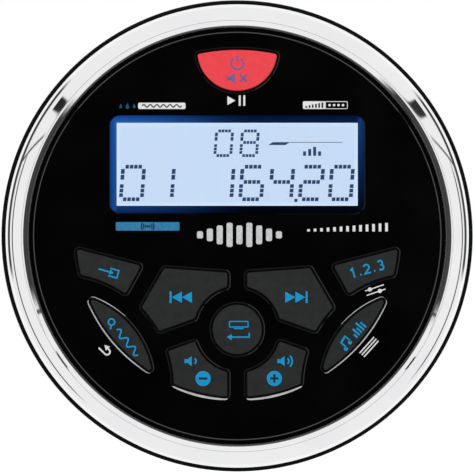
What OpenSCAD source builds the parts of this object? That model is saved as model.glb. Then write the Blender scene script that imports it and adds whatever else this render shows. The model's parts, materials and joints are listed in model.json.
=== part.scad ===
// Round marine stereo for a standard 3 in gauge hole: face with sprung keys, sealed barrel and rear clamp.
// Front faces -Y and +Z is up. The origin is on the barrel axis, where the gasket meets the dash.

/* [Bezel] */
// overall diameter, across the dash gasket
gasket_d = 105.4; // [104:0.1:112]
// thickness of the dash gasket
gasket_t = 2; // [1:0.5:4]
// how far the gasket shows outside the ring
gasket_show = 1; // [0.4:0.1:1.5]
// width of the bright ring, seen from the front
ring_w = 5.2; // [4.8:0.1:6.4]
// how far the ring's crest stands out from the face
ring_crown = 1.6; // [1.4:0.1:2.8]
// slope of the bevel from the face up to the ring's crest
ring_slope = 40; // [38:1:48]
// wall of the ring's skirt
ring_wall = 1.6; // [1.2:0.1:1.8]

/* [Fascia] */
// thickness of the face
fascia_t = 2; // [1.6:0.1:3]
// wall of the skirt behind the face
fascia_wall = 2.2; // [1.8:0.1:2.6]
// width of the land that the ring's lip sits on
land_w = 0.9; // [0.7:0.1:1.8]
// how far the middle of the face stands above the land
field_rise = 0.3; // [0.1:0.1:0.6]
// open line between the ring and the raised middle of the face
field_gap = 0.85; // [0.3:0.05:1]

/* [Display] */
// height of the display's centre above the barrel axis
window_z = 16; // [15.5:0.1:16.5]
// corner radius of the display opening
window_corner = 2.2; // [1:0.1:4]
// thickness of the clear window
window_t = 0.9; // [0.6:0.1:1.1]
// width of the lit area
view_w = 53.8; // [50:0.1:54.4]
// height of the lit area
view_h = 18.5; // [16:0.1:19]
// blue margin at each side of the lit area
margin_w = 1.45; // [1:0.05:1.8]
// blue margin above and below the lit area
margin_h = 1.65; // [1:0.05:1.8]
// thickness of each of the two glass plates of the LCD
glass_t = 1; // [0.7:0.1:1.1]

/* [Keys] */
// radius of the circle that the outer edges of the keys lie on
key_circle_r = 35.9; // [35.6:0.1:36.4]
// gap between a key and the rim of its opening
key_gap = 0.5; // [0.4:0.1:0.7]
// how far the keys stand out from the face
key_rise = 0.9; // [0.2:0.1:1.2]
// rounding of the key corners
key_corner = 0.5; // [0.3:0.05:0.7]
// how far a key goes in
key_travel = 0.8; // [0.4:0.1:1]
// how far the lip of a key reaches behind the face
key_lap = 0.5; // [0.3:0.1:0.7]
// thickness of that lip
lip_t = 1; // [0.8:0.1:1.2]
// radius of the stem behind a key
stem_r = 2.2; // [1.5:0.1:2.4]
// radius of the round enter key
enter_r = 5.5; // [5:0.1:6]
// radius of the curved inner edge of the two lens-shaped keys
lens_r = 20.8; // [20:0.1:21.2]
// radius of the lower edge of the power key
power_r = 8.9; // [8:0.1:9.2]
// depth between the face's back and the front board
key_space = 3.9; // [3.8:0.1:4.6]

/* [Body] */
// outer diameter of the barrel, for a 76.2 mm hole
barrel_d = 75.2; // [74.4:0.1:76]
// length of the barrel behind the dash
barrel_l = 56; // [54:1:80]
// wall of the barrel
barrel_wall = 2.2; // [1.8:0.1:2.6]
// thickness of the flange behind the face
flange_t = 2.5; // [2.3:0.1:4]
// thickness of the circuit boards
board_t = 1.6; // [1:0.1:2]
// thickness of the rear cover
cover_t = 3.2; // [2.5:0.1:5]
// number of cooling fins
fin_count = 9; // [5:2:11]
// thickness of a cooling fin
fin_t = 1.6; // [1:0.1:2]
// depth of the cooling fins
fin_l = 13; // [6:1:14]

/* [Clamp] */
// width of the clamp bracket
bracket_w = 18; // [14:1:20]
// thickness of the bracket's strap
bracket_t = 2; // [1.5:0.1:3]
// space between the barrel and the legs of the bracket
leg_gap = 5.4; // [3:0.2:6]
// length of the feet that press on the dash
foot_l = 8; // [5:1:9]
// diameter of the threaded studs
stud_d = 5; // [4:0.5:6]
// distance of each stud from the barrel axis
stud_x = 24; // [22:0.5:25]
// dash thickness that the clamp is drawn at
dash_rest = 10; // [6:1:15]
// thinnest dash that the clamp closes on
dash_min = 4; // [2:1:5]
// thickest dash that the clamp opens for
dash_max = 20; // [16:1:25]
// height of the nut's hub
nut_h = 5; // [4:0.5:8]

/* [Hidden] */
$fn = 96;

// clearances
slip = 0.2;
seat_fit = 0.1;
bore_fit = 0.06;
hole_fit = 0.4;
eps = 0.01;
over = 1;

// front stack, from the dash forward
screw_head_h = 1.2;
head_gap = 0.3;
screw_room = screw_head_h + head_gap;
flange_y = -gasket_t - flange_t;
board_back_y = flange_y - screw_room;
board_y = board_back_y - board_t;
fascia_back_y = board_y - key_space;
land_y = fascia_back_y - fascia_t;
face_y = land_y - field_rise;
ring_y = land_y - ring_crown;
key_y = face_y - key_rise;

// ring, fascia and flange radii
gasket_r = gasket_d / 2;
gasket_bore_gap = 1.1;
ring_r = gasket_r - gasket_show;
ring_in_r = ring_r - ring_w;
ring_edge = 0.3;
crest_round = 0.6;
bevel_h = ring_crown - ring_edge - crest_round * (1 - cos(ring_slope));
crest_w = bevel_h / tan(ring_slope) + crest_round * sin(ring_slope);
ring_outer_round = ring_w - crest_w;
fascia_r = ring_in_r + land_w;
skirt_in_r = fascia_r - fascia_wall;
field_r = ring_in_r - field_gap;
flange_r = ring_r - ring_wall - slip;
arc_steps = 12;

// fixings of the face: bosses take the flange screws, posts take the board screws
boss_r = 2.6;
boss_inset = 0.5;
boss_at = skirt_in_r - boss_r - boss_inset;
boss_angles = [for (k = [0 : 5]) 60 * k];
boss_screw_r = 1.2;
boss_head_r = 2.2;
boss_head_h = 1.2;
post_r = 2.2;
post_inset = 1;
post_at = skirt_in_r - post_r - post_inset;
post_angles = [12, 168, 225, 315];
post_screw_r = 0.9;
post_head_r = 1.9;
boss_floor = 1;
post_floor = 0.5;
boss_grip = 3;
post_grip = 2.6;

// display stack
window_w = view_w + 2 * margin_w;
window_h = view_h + 2 * margin_h;
tape_t = 0.2;
window_lap = 1.2;
window_back_y = fascia_back_y;
window_y = window_back_y - window_t;
tape_y = window_y - tape_t;
frame_lip_t = 0.3;
frame_wall = 1.8;
lcd_edge = 0.9;
lcd_ledge = 2.4;
lcd_y = fascia_back_y + frame_lip_t;
guide_y = lcd_y + 2 * glass_t;
lcd_w = view_w + 2 * lcd_edge;
lcd_top_z = window_z + view_h / 2 + lcd_edge;
lcd_low_z = window_z - view_h / 2 - lcd_edge;
ledge_z = lcd_low_z - lcd_ledge;
pocket_w = lcd_w + 2 * seat_fit;
frame_w = pocket_w + 2 * frame_wall;
frame_top_z = lcd_top_z + seat_fit + frame_wall;
frame_low_z = ledge_z - seat_fit - frame_wall;
lamp_depth = 1.6;
lamp_w = 3;

// key layout on the face, left side; the right side mirrors it
enter_at = [0, -20.85];
enter_moat = 4.25;
lens_at = [-39.55, -33.66];
lens_moat = 4.6;
lens_corner = 0.5;
power_at = [0, 41.3];
power_outer_r = 41.5;
middle_gap = 2.2;
moat_r = enter_r + enter_moat;
lens_moat_r = lens_r + lens_moat;
face_edge = ["in", [0, 0], key_circle_r];
enter_edge = ["out", enter_at, moat_r];
lens_edge = ["out", lens_at, lens_moat_r];
middle_edge = ["line", [-middle_gap, 0], 0];

// each key is a list of edges and, for each, the corner where it meets the next
power_edges = [["in", [0, 0], power_outer_r], ["in", power_at, power_r]];
power_corners = [[-8.7, 40.6], [8.7, 40.6]];
lens_edges = [face_edge, ["in", lens_at, lens_r]];
lens_corners = [[-19.2, -30.3], [-31.9, -14.5]];
source_edges = [face_edge, ["line", [-28.5, -4.82], 75.4], ["line", [-23.2, -9.8], -29], lens_edge];
source_corners = [[-35.5, -3], [-21.45, -6.65], [-24.95, -12.95], [-34.55, -9.15]];
track_edges = [["line", [-9.25, -7.7], 86], middle_edge, enter_edge, ["line", [-13.45, -19.8], -70.5],
    lens_edge, ["line", [-18.7, -11.4], 150]];
track_corners = [[-2.2, -8.2], [-2.2, -11.4], [-9.5, -18.4], [-17.4, -21.2], [-21.15, -15.6], [-16.3, -7.2]];
volume_edges = [["line", [-12.3, -24.55], 109.6], enter_edge, middle_edge, face_edge, lens_edge];
volume_corners = [[-9.4, -23.55], [-2.25, -30.3], [-2.25, -35.8], [-13.95, -33.2], [-15.15, -25.6]];

// stems of the keys and the pads under them
power_stem = [0, 37.2];
lens_stem = [-26.6, -23];
source_stem = [-29.6, -8];
track_stem = [-11.5, -13.2];
volume_stem = [-9, -29.8];
pad_t = 0.1;
press_gap = 0.1;
lip_grow = key_gap + key_lap;
lip_back_y = fascia_back_y + lip_t;
stem_back_y = board_y - pad_t - press_gap - key_travel;
mat_t = 1;

// barrel and what it holds
barrel_r = barrel_d / 2;
barrel_in_r = barrel_r - barrel_wall;
seal_w = 1.4;
groove_w = seal_w + 2 * seat_fit;
seal_t = 1.3;
seal_r = skirt_in_r + fascia_wall / 2;
rear_seal_t = 0.8;
rear_step = 0.2;
rear_seal_w = barrel_wall - 2 * rear_step;
cover_y = barrel_l + rear_seal_t;
cover_back_y = cover_y + cover_t;
rear_seal_r = barrel_r - rear_step;
rear_boss_r = 3.2;
rear_boss_inset = 0.4;
rear_boss_at = barrel_in_r - rear_boss_r - rear_boss_inset;
web_w = 2.6;
rear_boss_l = 12;
rear_boss_end_y = barrel_l - rear_boss_inset;
rear_bore_y = barrel_l - rear_boss_l + boss_floor;
rear_boss_angles = [for (k = [0 : 5]) 30 + 60 * k];
rear_screw_r = 1.5;
rear_head_r = 2.5;
rear_head_h = 2;
rear_grip = 8;

// main board and its slots
deck_rise = 11.4;
deck_z = deck_rise - barrel_in_r;
deck_margin = 1.4;
deck_half_w = sqrt(pow(barrel_in_r, 2) - pow(deck_z - board_t, 2)) - deck_margin;
deck_gap = 2;
deck_y0 = 3;
deck_y1 = barrel_l - deck_gap;
rail_in = 2.2;
rail_h = 1.6;
rail_x = deck_half_w - rail_in;
rail_y0 = 6;
rail_y1 = barrel_l - rear_boss_l - deck_gap;

// pieces on the main board
plug_w = 18;
plug_t = 2.5;
plug_h = 3;
ribbon_w = 15;
ribbon_t = 0.3;
front_plug_z = -14;
deck_plug_y = 7;
chip_w = 20;
chip_h = 19;
chip_t = 4.6;
chip_low_z = -7;
bridge_l = 16;
bridge_w = 24;
bridge_low_z = 2;
bridge_h = 17;
chip_back_y = cover_y - bridge_l;
chip_y = chip_back_y - chip_t;
leg_count = 9;
leg_pitch = 1.9;
leg_size = 0.7;
chip_clamp_t = 1.2;
chip_clamp_low_z = 6;
chip_top_z = chip_low_z + chip_h;
chip_screw_z = (chip_top_z + bridge_low_z + bridge_h) / 2;
chip_screw_end_y = chip_back_y + bridge_l / 2;
capacitor_r = 5;
capacitor_h = 15;
capacitor_gap = 0.85;
capacitor_x = capacitor_r + capacitor_gap - rail_x;
capacitor_rows = [14, 27];
choke_r = 6.5;
choke_hole_r = 3;
choke_h = 7;
deck_part_gap = 1.35;
choke_at = [rail_x - choke_r - deck_part_gap, 16];
tuner_capacitor_gap = 3.5;
tuner_choke_gap = 1;
tuner_at = [capacitor_x + capacitor_r + tuner_capacitor_gap, 13];
tuner_size = [choke_at[0] - choke_r - tuner_choke_gap - tuner_at[0], 16, 9];
wireless_size = [9, 12, 2.4];
wireless_at = [rail_x - deck_part_gap - wireless_size[0], 24];

// sockets on the rear
socket_lift = 5.4;
socket_z = deck_z + socket_lift;
socket_in = 10;
socket_y0 = barrel_l - socket_in;
socket_out = 10;
socket_back_y = cover_back_y + socket_out;
socket_margin = 0.55;
row_half_w = deck_half_w - socket_margin;
harness_gap = 1.6;
antenna_gap = 1.2;
jack_gap = 0.8;
antenna_r = 4.4;
jack_r = 3.9;
jack_places = [row_half_w - 3 * jack_r - jack_gap, row_half_w - jack_r];
antenna_x = jack_places[0] - jack_r - antenna_gap - antenna_r;
harness_w = row_half_w + antenna_x - antenna_r - harness_gap;
harness_x = harness_w / 2 - row_half_w;
harness_h = 2 * socket_lift;
harness_wall = 1.2;
harness_depth = 9;
pin_size = 0.8;
pin_count = 7;
pin_room = 1.11;
pin_pitch = (harness_w - 2 * harness_wall) / (pin_count + pin_room);
pin_l = 4.4;
antenna_bore_r = 3.5;
antenna_pin_r = 1.3;
antenna_depth = 12;
antenna_pin_l = 5;
foot_share = 0.9;
jack_bore_r = 1.65;
jack_depth = 9;

// cooling fins above the clamp
fin_pitch = 4.2;
fin_low_z = 15;
fin_screw_gap = 1.8;
fin_top_z = rear_boss_at - rear_head_r - fin_screw_gap;

// clamp behind the body
stud_boss_wall = 2.2;
stud_boss_h = 5;
stud_boss_r = stud_d / 2 + stud_boss_wall;
stud_boss_y = cover_back_y + stud_boss_h;
stud_root = 2;
washer_t = 1;
clamp_spare = 1;
stud_r = stud_d / 2;
washer_rim = 3;
washer_r = stud_r + washer_rim;
bar_y = stud_boss_y + dash_rest - dash_min + clamp_spare;
nut_y = bar_y + bracket_t + washer_t;
stud_end_y = nut_y + nut_h + dash_max - dash_rest + 2 * clamp_spare;
leg_x = barrel_r + leg_gap;
bend_r = 1;
bend_step = 0.4;
nut_wall = 1.8;
nut_hub_r = stud_r + nut_wall;
wing_t = 2.2;
wing_reach = 13;
wing_rise = 12;
wing_end_r = 2.6;
wing_foot = 0.5;

// where the line or circle edge e lies when moved inward by d: a line's offset or a circle's radius
function edge_reach(e, d) =
    e[0] == "line" ? e[1] * [cos(e[2]), sin(e[2])] - d
    : e[2] + (e[0] == "in" ? -d : d);

// crossing of two lines given by their normal angles and offsets
function cross_lines(a, p, b, q) = [p * sin(b) - q * sin(a), q * cos(a) - p * cos(b)] / sin(b - a);

// crossing of a line with a circle, on the side nearest to a point
function cross_line_circle(a, p, c, r, near) =
    let (
        n = [cos(a), sin(a)],
        t = [-sin(a), cos(a)],
        gap = p - c * n,
        foot = c + gap * n,
        half = sqrt(r * r - gap * gap),
        side = (near - foot) * t < 0 ? -1 : 1
    ) foot + side * half * t;

// crossing of two circles, on the side nearest to a point
function cross_circles(c, r, d, s, near) =
    let (
        span = norm(d - c),
        u = (d - c) / span,
        t = [-u[1], u[0]],
        along = (span * span + r * r - s * s) / (2 * span),
        half = sqrt(r * r - along * along),
        foot = c + along * u,
        side = (near - foot) * t < 0 ? -1 : 1
    ) foot + side * half * t;

// centre of the rounding between two edges, both moved inward by d
function round_centre(e, f, d, near) =
    e[0] == "line" && f[0] == "line" ? cross_lines(e[2], edge_reach(e, d), f[2], edge_reach(f, d))
    : e[0] == "line" ? cross_line_circle(e[2], edge_reach(e, d), f[1], edge_reach(f, d), near)
    : f[0] == "line" ? cross_line_circle(f[2], edge_reach(f, d), e[1], edge_reach(e, d), near)
    : cross_circles(e[1], edge_reach(e, d), f[1], edge_reach(f, d), near);

// direction from a rounding's centre to the edge that it touches
function touch_angle(e, centre) =
    e[0] == "line" ? e[2]
    : let (v = e[0] == "in" ? centre - e[1] : e[1] - centre) atan2(v[1], v[0]);

// angle turned the short way
function short_turn(a, b) = let (d = b - a) d - 360 * round(d / 360);

// points of an arc with about the given length to each step
function arc_points(c, r, a, b, step) =
    let (turn = short_turn(a, b), n = max(2, ceil(abs(turn) * PI / 180 * r / step)))
    [for (k = [0 : n]) c + r * [cos(a + turn * k / n), sin(a + turn * k / n)]];

// outline of a key, grown outward, with rounded corners
function key_outline(edges, corners, corner_r, grow) =
    let (
        n = len(edges),
        r = corner_r + grow,
        centres = [for (k = [0 : n - 1]) round_centre(edges[k], edges[(k + 1) % n], corner_r, corners[k])],
        starts = [for (k = [0 : n - 1]) touch_angle(edges[k], centres[k])],
        ends = [for (k = [0 : n - 1]) touch_angle(edges[(k + 1) % n], centres[k])]
    ) [
        for (k = [0 : n - 1])
            let (next = (k + 1) % n, e = edges[next])
            each concat(
                arc_points(centres[k], r, starts[k], ends[k], round_step),
                e[0] == "line" ? [] : inner_points(edge_run(e, grow, centres[k], centres[next]))
            )
    ];

// points along a curved edge between the roundings at its two ends
function edge_run(e, grow, from, to) =
    let (a = from - e[1], b = to - e[1], r = e[2] + (e[0] == "in" ? grow : -grow))
    arc_points(e[1], r, atan2(a[1], a[0]), atan2(b[1], b[0]), edge_step);

// a list without its first and last entries
function inner_points(list) = [for (k = [1 : 1 : len(list) - 2]) list[k]];
round_step = 0.2;
corner_step = 0.8;
edge_step = 1.6;

// outline of a rounded rectangle about a centre
function round_box(w, h, r, at) = [
    for (q = [0 : 3])
        let (sx = q == 0 || q == 3 ? 1 : -1, sz = q < 2 ? 1 : -1)
        each arc_points(at + [sx * (w / 2 - r), sz * (h / 2 - r)], r, 90 * q, 90 * q + 90, corner_step)
];

// a quarter arc of a turned profile, ends included
function profile_arc(c, r, a, b) = [for (k = [0 : arc_steps]) c + r * [cos(a + (b - a) * k / arc_steps),
    sin(a + (b - a) * k / arc_steps)]];

// flat outline in X and Z drawn out from depth y0 to y1
module slab(y0, y1) {
    translate([0, y1, 0]) rotate([90, 0, 0]) linear_extrude(y1 - y0) children();
}

// profile of radius and depth turned about the barrel axis
module lathe() {
    rotate([-90, 0, 0]) rotate_extrude() children();
}

// ring of square section about the barrel axis
module hoop(r0, r1, y0, y1) {
    lathe() translate([r0, y0]) square([r1 - r0, y1 - y0]);
}

// round bar along Y at a place on the face
module bar(at, r, y0, y1) {
    translate([at[0], y0, at[1]]) rotate([-90, 0, 0]) cylinder(r = r, h = y1 - y0);
}

// box from its two opposite corners
module block(a, b) {
    translate(a) cube(b - a);
}

// place at a radius and an angle on the face
function polar(r, a) = r * [cos(a), sin(a)];

// outline of a key by name, grown by the given amount
module key_shape(name, grow) {
    if (name == "power") polygon(key_outline(power_edges, power_corners, key_corner, grow));
    if (name == "enter") translate(enter_at) circle(enter_r + grow);
    if (name == "lens") polygon(key_outline(lens_edges, lens_corners, lens_corner, grow));
    if (name == "source") polygon(key_outline(source_edges, source_corners, key_corner, grow));
    if (name == "track") polygon(key_outline(track_edges, track_corners, key_corner, grow));
    if (name == "volume") polygon(key_outline(volume_edges, volume_corners, key_corner, grow));
}
single_keys = ["power", "enter"];
paired_keys = ["lens", "source", "track", "volume"];

// every key outline, grown by the given amount
module all_key_shapes(grow) {
    for (name = concat(single_keys, paired_keys)) key_shape(name, grow);
    for (name = paired_keys) mirror([1, 0]) key_shape(name, grow);
}

// where the stems are
stems = [power_stem, enter_at, lens_stem, source_stem, track_stem, volume_stem,
    for (s = [lens_stem, source_stem, track_stem, volume_stem]) [-s[0], s[1]]];

// a key: cap through the face, lip behind it and stem towards its pad
module key_body(name, stem) {
    slab(key_y, fascia_back_y) key_shape(name, 0);
    slab(fascia_back_y, lip_back_y) key_shape(name, lip_grow);
    bar(stem, stem_r, lip_back_y, stem_back_y);
}

// screw pointing forward, with its head behind depth y
module screw(at, y, r, length, head_r, head_h) {
    bar(at, r, y - length, y);
    bar(at, head_r, y, y + head_h);
}

// bright ring: bevel up to the crest, round shoulder, skirt down to the gasket and a lip over the face's edge
module chrome_ring() {
    crest_r = ring_in_r + crest_w;
    skirt_r = ring_r - ring_wall;
    shoulder_y = ring_y + ring_outer_round;
    color("silver") lathe() polygon(concat(
        [[ring_in_r, land_y], [ring_in_r, land_y - ring_edge]],
        profile_arc([crest_r, ring_y + crest_round], crest_round, 270 - ring_slope, 270),
        inner_points(profile_arc([crest_r, shoulder_y], ring_outer_round, 270, 360)),
        [[ring_r, shoulder_y], [ring_r, -gasket_t], [skirt_r, -gasket_t], [skirt_r, shoulder_y]],
        [[fascia_r + slip, land_y]]
    ));
}

// rubber gasket between the unit and the dash
module dash_gasket() {
    color("black") hoop(barrel_r + gasket_bore_gap, gasket_r, -gasket_t, 0);
}

// face with its openings, skirt, screw bosses and board posts
module fascia() {
    rebate = window_t + tape_t;
    color("dimgray") difference() {
        union() {
            hoop(0, fascia_r, land_y, fascia_back_y);
            bar([0, 0], field_r, face_y, land_y + eps);
            hoop(skirt_in_r, fascia_r, fascia_back_y - eps, flange_y);
            for (a = boss_angles) bar(polar(boss_at, a), boss_r, fascia_back_y - eps, flange_y);
            for (a = post_angles) bar(polar(post_at, a), post_r, fascia_back_y - eps, board_y);
        }
        slab(face_y - over, fascia_back_y + eps) {
            all_key_shapes(key_gap);
            window_shape(0);
        }
        slab(fascia_back_y - rebate, fascia_back_y + eps) window_shape(window_lap);
        for (a = boss_angles)
            bar(polar(boss_at, a), boss_screw_r + seat_fit, fascia_back_y + boss_floor, flange_y + over);
        for (a = post_angles)
            bar(polar(post_at, a), post_screw_r + seat_fit, fascia_back_y + post_floor, board_y + over);
    }
}

// outline of the display opening, grown by the given amount
module window_shape(grow) {
    polygon(round_box(window_w + 2 * grow, window_h + 2 * grow, window_corner + grow, [0, window_z]));
}

// adhesive frame that seals the window to the face
module window_tape() {
    color("gray") slab(tape_y, window_y) difference() {
        window_shape(window_lap);
        window_shape(0);
    }
}

// clear window, set into the back of the face
module display_window() {
    color("lightblue") slab(window_y, window_back_y) window_shape(window_lap);
}

// deep frame that holds the LCD and shows as a margin round the lit area
module lcd_frame() {
    color("navy") difference() {
        block([-frame_w / 2, fascia_back_y, frame_low_z], [frame_w / 2, board_y, frame_top_z]);
        block([-pocket_w / 2, lcd_y, ledge_z - seat_fit],
            [pocket_w / 2, board_y + over, lcd_top_z + seat_fit]);
        block([-view_w / 2, fascia_back_y - over, window_z - view_h / 2],
            [view_w / 2, lcd_y + over, window_z + view_h / 2]);
    }
}

// LCD of two glass plates; the front one overhangs as a contact ledge
module lcd_glass() {
    color("lightcyan") {
        block([-lcd_w / 2, lcd_y, ledge_z], [lcd_w / 2, lcd_y + glass_t, lcd_top_z]);
        block([-lcd_w / 2, lcd_y + glass_t, lcd_low_z], [lcd_w / 2, guide_y, lcd_top_z]);
    }
}

// places of the lamps at the ends of the light guide
lamp_places = [for (s = [-1, 1]) for (t = [-1, 1]) [s * (lcd_w - lamp_depth) / 2, window_z + t * view_h / 4]];

// clear plate that spreads the lamps' light, notched for them
module light_guide() {
    color("white") difference() {
        block([-lcd_w / 2, guide_y, lcd_low_z], [lcd_w / 2, board_y, lcd_top_z]);
        for (p = lamp_places)
            block([p[0] - lamp_depth / 2 - slip, guide_y - over, p[1] - lamp_w / 2 - slip],
                [p[0] + lamp_depth / 2 + slip, board_y + over, p[1] + lamp_w / 2 + slip]);
    }
}

// lamps on the front board
module backlight_lamps() {
    color("lightyellow") for (p = lamp_places)
        block([p[0] - lamp_depth / 2, guide_y + slip, p[1] - lamp_w / 2],
            [p[0] + lamp_depth / 2, board_y, p[1] + lamp_w / 2]);
}

// rubber strip that joins the LCD's ledge to the board
module zebra_strip() {
    color("pink")
        block([-view_w / 2, lcd_y + glass_t, ledge_z + slip], [view_w / 2, board_y, lcd_low_z - slip]);
}

// red power key
module power_key() {
    color("red") key_body("power", power_stem);
}

// source key, left
module source_key() {
    color("darkslategray") key_body("source", source_stem);
}

// band key, lower left
module band_key() {
    color("darkslategray") key_body("lens", lens_stem);
}

// track back key
module track_back_key() {
    color("darkslategray") key_body("track", track_stem);
}

// track forward key
module track_forward_key() {
    color("darkslategray") mirror([1, 0, 0]) key_body("track", track_stem);
}

// round enter key
module enter_key() {
    color("darkslategray") key_body("enter", enter_at);
}

// volume down key
module volume_down_key() {
    color("darkslategray") key_body("volume", volume_stem);
}

// volume up key
module volume_up_key() {
    color("darkslategray") mirror([1, 0, 0]) key_body("volume", volume_stem);
}

// preset key, right
module preset_key() {
    color("darkslategray") mirror([1, 0, 0]) key_body("source", source_stem);
}

// audio key, lower right
module audio_key() {
    color("darkslategray") mirror([1, 0, 0]) key_body("lens", lens_stem);
}

// rubber sheet on the front board, open round the stems, the display and the fixings
module key_mat() {
    cut_y0 = board_y - mat_t - over;
    cut_y1 = board_y + over;
    color("slategray") difference() {
        bar([0, 0], skirt_in_r - slip, board_y - mat_t, board_y);
        block([-frame_w / 2 - slip, cut_y0, frame_low_z - slip],
            [frame_w / 2 + slip, cut_y1, frame_top_z + slip]);
        for (s = stems) bar(s, stem_r + hole_fit, cut_y0, cut_y1);
        for (a = boss_angles) bar(polar(boss_at, a), boss_r + hole_fit, cut_y0, cut_y1);
        for (a = post_angles) bar(polar(post_at, a), post_r + hole_fit, cut_y0, cut_y1);
    }
}

// contact pads on the board, one under each stem
module contact_pads() {
    color("gold") for (s = stems) bar(s, stem_r - slip, board_y - pad_t, board_y);
}

// front circuit board, notched for the bosses
module front_board() {
    cut_y0 = board_y - over;
    cut_y1 = board_back_y + over;
    color("green") difference() {
        bar([0, 0], skirt_in_r - slip, board_y, board_back_y);
        for (a = boss_angles) bar(polar(boss_at, a), boss_r + hole_fit, cut_y0, cut_y1);
        for (a = post_angles) bar(polar(post_at, a), post_screw_r + slip, cut_y0, cut_y1);
    }
}

// screws that hold the front board to the posts
module board_screws() {
    color("silver") for (a = post_angles)
        screw(polar(post_at, a), board_back_y, post_screw_r, board_t + post_grip, post_head_r, screw_head_h);
}

// flat seal in a groove of the flange, under the skirt of the face
module body_seal() {
    color("black") hoop(seal_r - seal_w / 2, seal_r + seal_w / 2, flange_y, flange_y + seal_t);
}

// screws from the back of the flange into the bosses of the face
module flange_screws() {
    color("silver") for (a = boss_angles)
        screw(polar(boss_at, a), -gasket_t - boss_head_h - seat_fit, boss_screw_r,
            flange_t + boss_grip, boss_head_r, boss_head_h);
}

// barrel with its flange, board slots and rear screw bosses
module rear_housing() {
    color("black") difference() {
        union() {
            hoop(barrel_in_r, barrel_r, flange_y, barrel_l);
            hoop(barrel_in_r, flange_r, flange_y, -gasket_t);
            for (a = rear_boss_angles) rear_boss(a);
            for (s = [-1, 1]) board_rails(s);
        }
        hoop(seal_r - groove_w / 2, seal_r + groove_w / 2, flange_y - over, flange_y + seal_t);
        for (a = boss_angles) {
            bar(polar(boss_at, a), boss_screw_r + slip, flange_y - over, 0);
            bar(polar(boss_at, a), boss_head_r + slip, -gasket_t - boss_head_h - seat_fit, 0);
        }
        for (a = rear_boss_angles)
            bar(polar(rear_boss_at, a), rear_screw_r + seat_fit, rear_bore_y, barrel_l + over);
    }
}

// screw boss inside the rear end of the barrel, with a web to the wall
module rear_boss(a) {
    bar(polar(rear_boss_at, a), rear_boss_r, barrel_l - rear_boss_l, rear_boss_end_y);
    rotate([0, -a, 0]) block([rear_boss_at, barrel_l - rear_boss_l, -web_w / 2],
        [barrel_in_r + barrel_wall / 2, rear_boss_end_y, web_w / 2]);
}

// pair of ledges that the edge of the main board slides between
module board_rails(side) {
    middle_r = barrel_in_r + barrel_wall / 2;
    low_z = deck_z - board_t - rail_h;
    high_z = deck_z + seat_fit + rail_h;
    low_x = sqrt(pow(middle_r, 2) - pow(low_z, 2));
    high_x = sqrt(pow(middle_r, 2) - pow(deck_z, 2));
    mirror([side < 0 ? 1 : 0, 0, 0]) {
        block([rail_x, rail_y0, low_z], [low_x, rail_y1, deck_z - board_t]);
        block([rail_x, rail_y0, deck_z + seat_fit], [high_x, rail_y1, high_z]);
    }
}

// ribbon plugs, one on the back of the front board and one on the main board
module board_plugs() {
    color("ivory") {
        block([-plug_w / 2, board_back_y, front_plug_z - plug_h / 2],
            [plug_w / 2, board_back_y + plug_t, front_plug_z + plug_h / 2]);
        block([-plug_w / 2, deck_plug_y - plug_h / 2, deck_z],
            [plug_w / 2, deck_plug_y + plug_h / 2, deck_z + plug_t]);
    }
}

// ribbon cable between the two boards
module ribbon_cable() {
    color("white") {
        block([-ribbon_w / 2, board_back_y + plug_t, front_plug_z - ribbon_t],
            [ribbon_w / 2, deck_plug_y + ribbon_t, front_plug_z]);
        block([-ribbon_w / 2, deck_plug_y, deck_z + plug_t],
            [ribbon_w / 2, deck_plug_y + ribbon_t, front_plug_z]);
    }
}

// main circuit board, held in the slots
module main_board() {
    color("green") block([-deck_half_w, deck_y0, deck_z - board_t], [deck_half_w, deck_y1, deck_z]);
}

// amplifier chip against the cover's cooling block, with its legs down to the main board
module amplifier_chip() {
    leg_y = chip_y + chip_t / 2;
    color("dimgray") {
        block([-chip_w / 2, chip_y, chip_low_z], [chip_w / 2, chip_back_y, chip_top_z]);
        for (k = [0 : leg_count - 1])
            translate([(k - (leg_count - 1) / 2) * leg_pitch, 0, 0])
                block([-leg_size / 2, leg_y - leg_size / 2, deck_z],
                    [leg_size / 2, leg_y + leg_size / 2, chip_low_z]);
    }
}

// stepped clamp that presses the chip to the cooling block
module chip_clamp() {
    color("silver") difference() {
        union() {
            block([-bridge_w / 2, chip_y - chip_clamp_t, chip_clamp_low_z],
                [bridge_w / 2, chip_y, bridge_low_z + bridge_h]);
            block([-bridge_w / 2, chip_y - eps, chip_top_z + slip],
                [bridge_w / 2, chip_back_y, bridge_low_z + bridge_h]);
        }
        bar([0, chip_screw_z], rear_screw_r + slip, chip_y - chip_clamp_t - over, chip_back_y + over);
    }
}

// screw of the chip clamp, into the cooling block
module chip_screw() {
    head_y = chip_y - chip_clamp_t;
    color("silver") {
        bar([0, chip_screw_z], rear_screw_r, head_y, chip_screw_end_y);
        bar([0, chip_screw_z], rear_head_r, head_y - rear_head_h, head_y);
    }
}

// power capacitors standing on the main board
module capacitors() {
    color("midnightblue") for (y = capacitor_rows)
        translate([capacitor_x, y, deck_z]) cylinder(r = capacitor_r, h = capacitor_h);
}

// ring-shaped choke coil on the main board
module choke_coil() {
    color("orange") translate([choke_at[0], choke_at[1], deck_z]) difference() {
        cylinder(r = choke_r, h = choke_h);
        translate([0, 0, -over]) cylinder(r = choke_hole_r, h = choke_h + 2 * over);
    }
}

// tuner in its metal can
module tuner_can() {
    color("silver") translate([tuner_at[0], tuner_at[1], deck_z]) cube(tuner_size);
}

// wireless module
module wireless_module() {
    color("darkgreen") translate([wireless_at[0], wireless_at[1], deck_z]) cube(wireless_size);
}

// flat seal between the barrel and the rear cover
module rear_seal() {
    color("black") hoop(rear_seal_r - rear_seal_w, rear_seal_r, barrel_l, cover_y);
}

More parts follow.
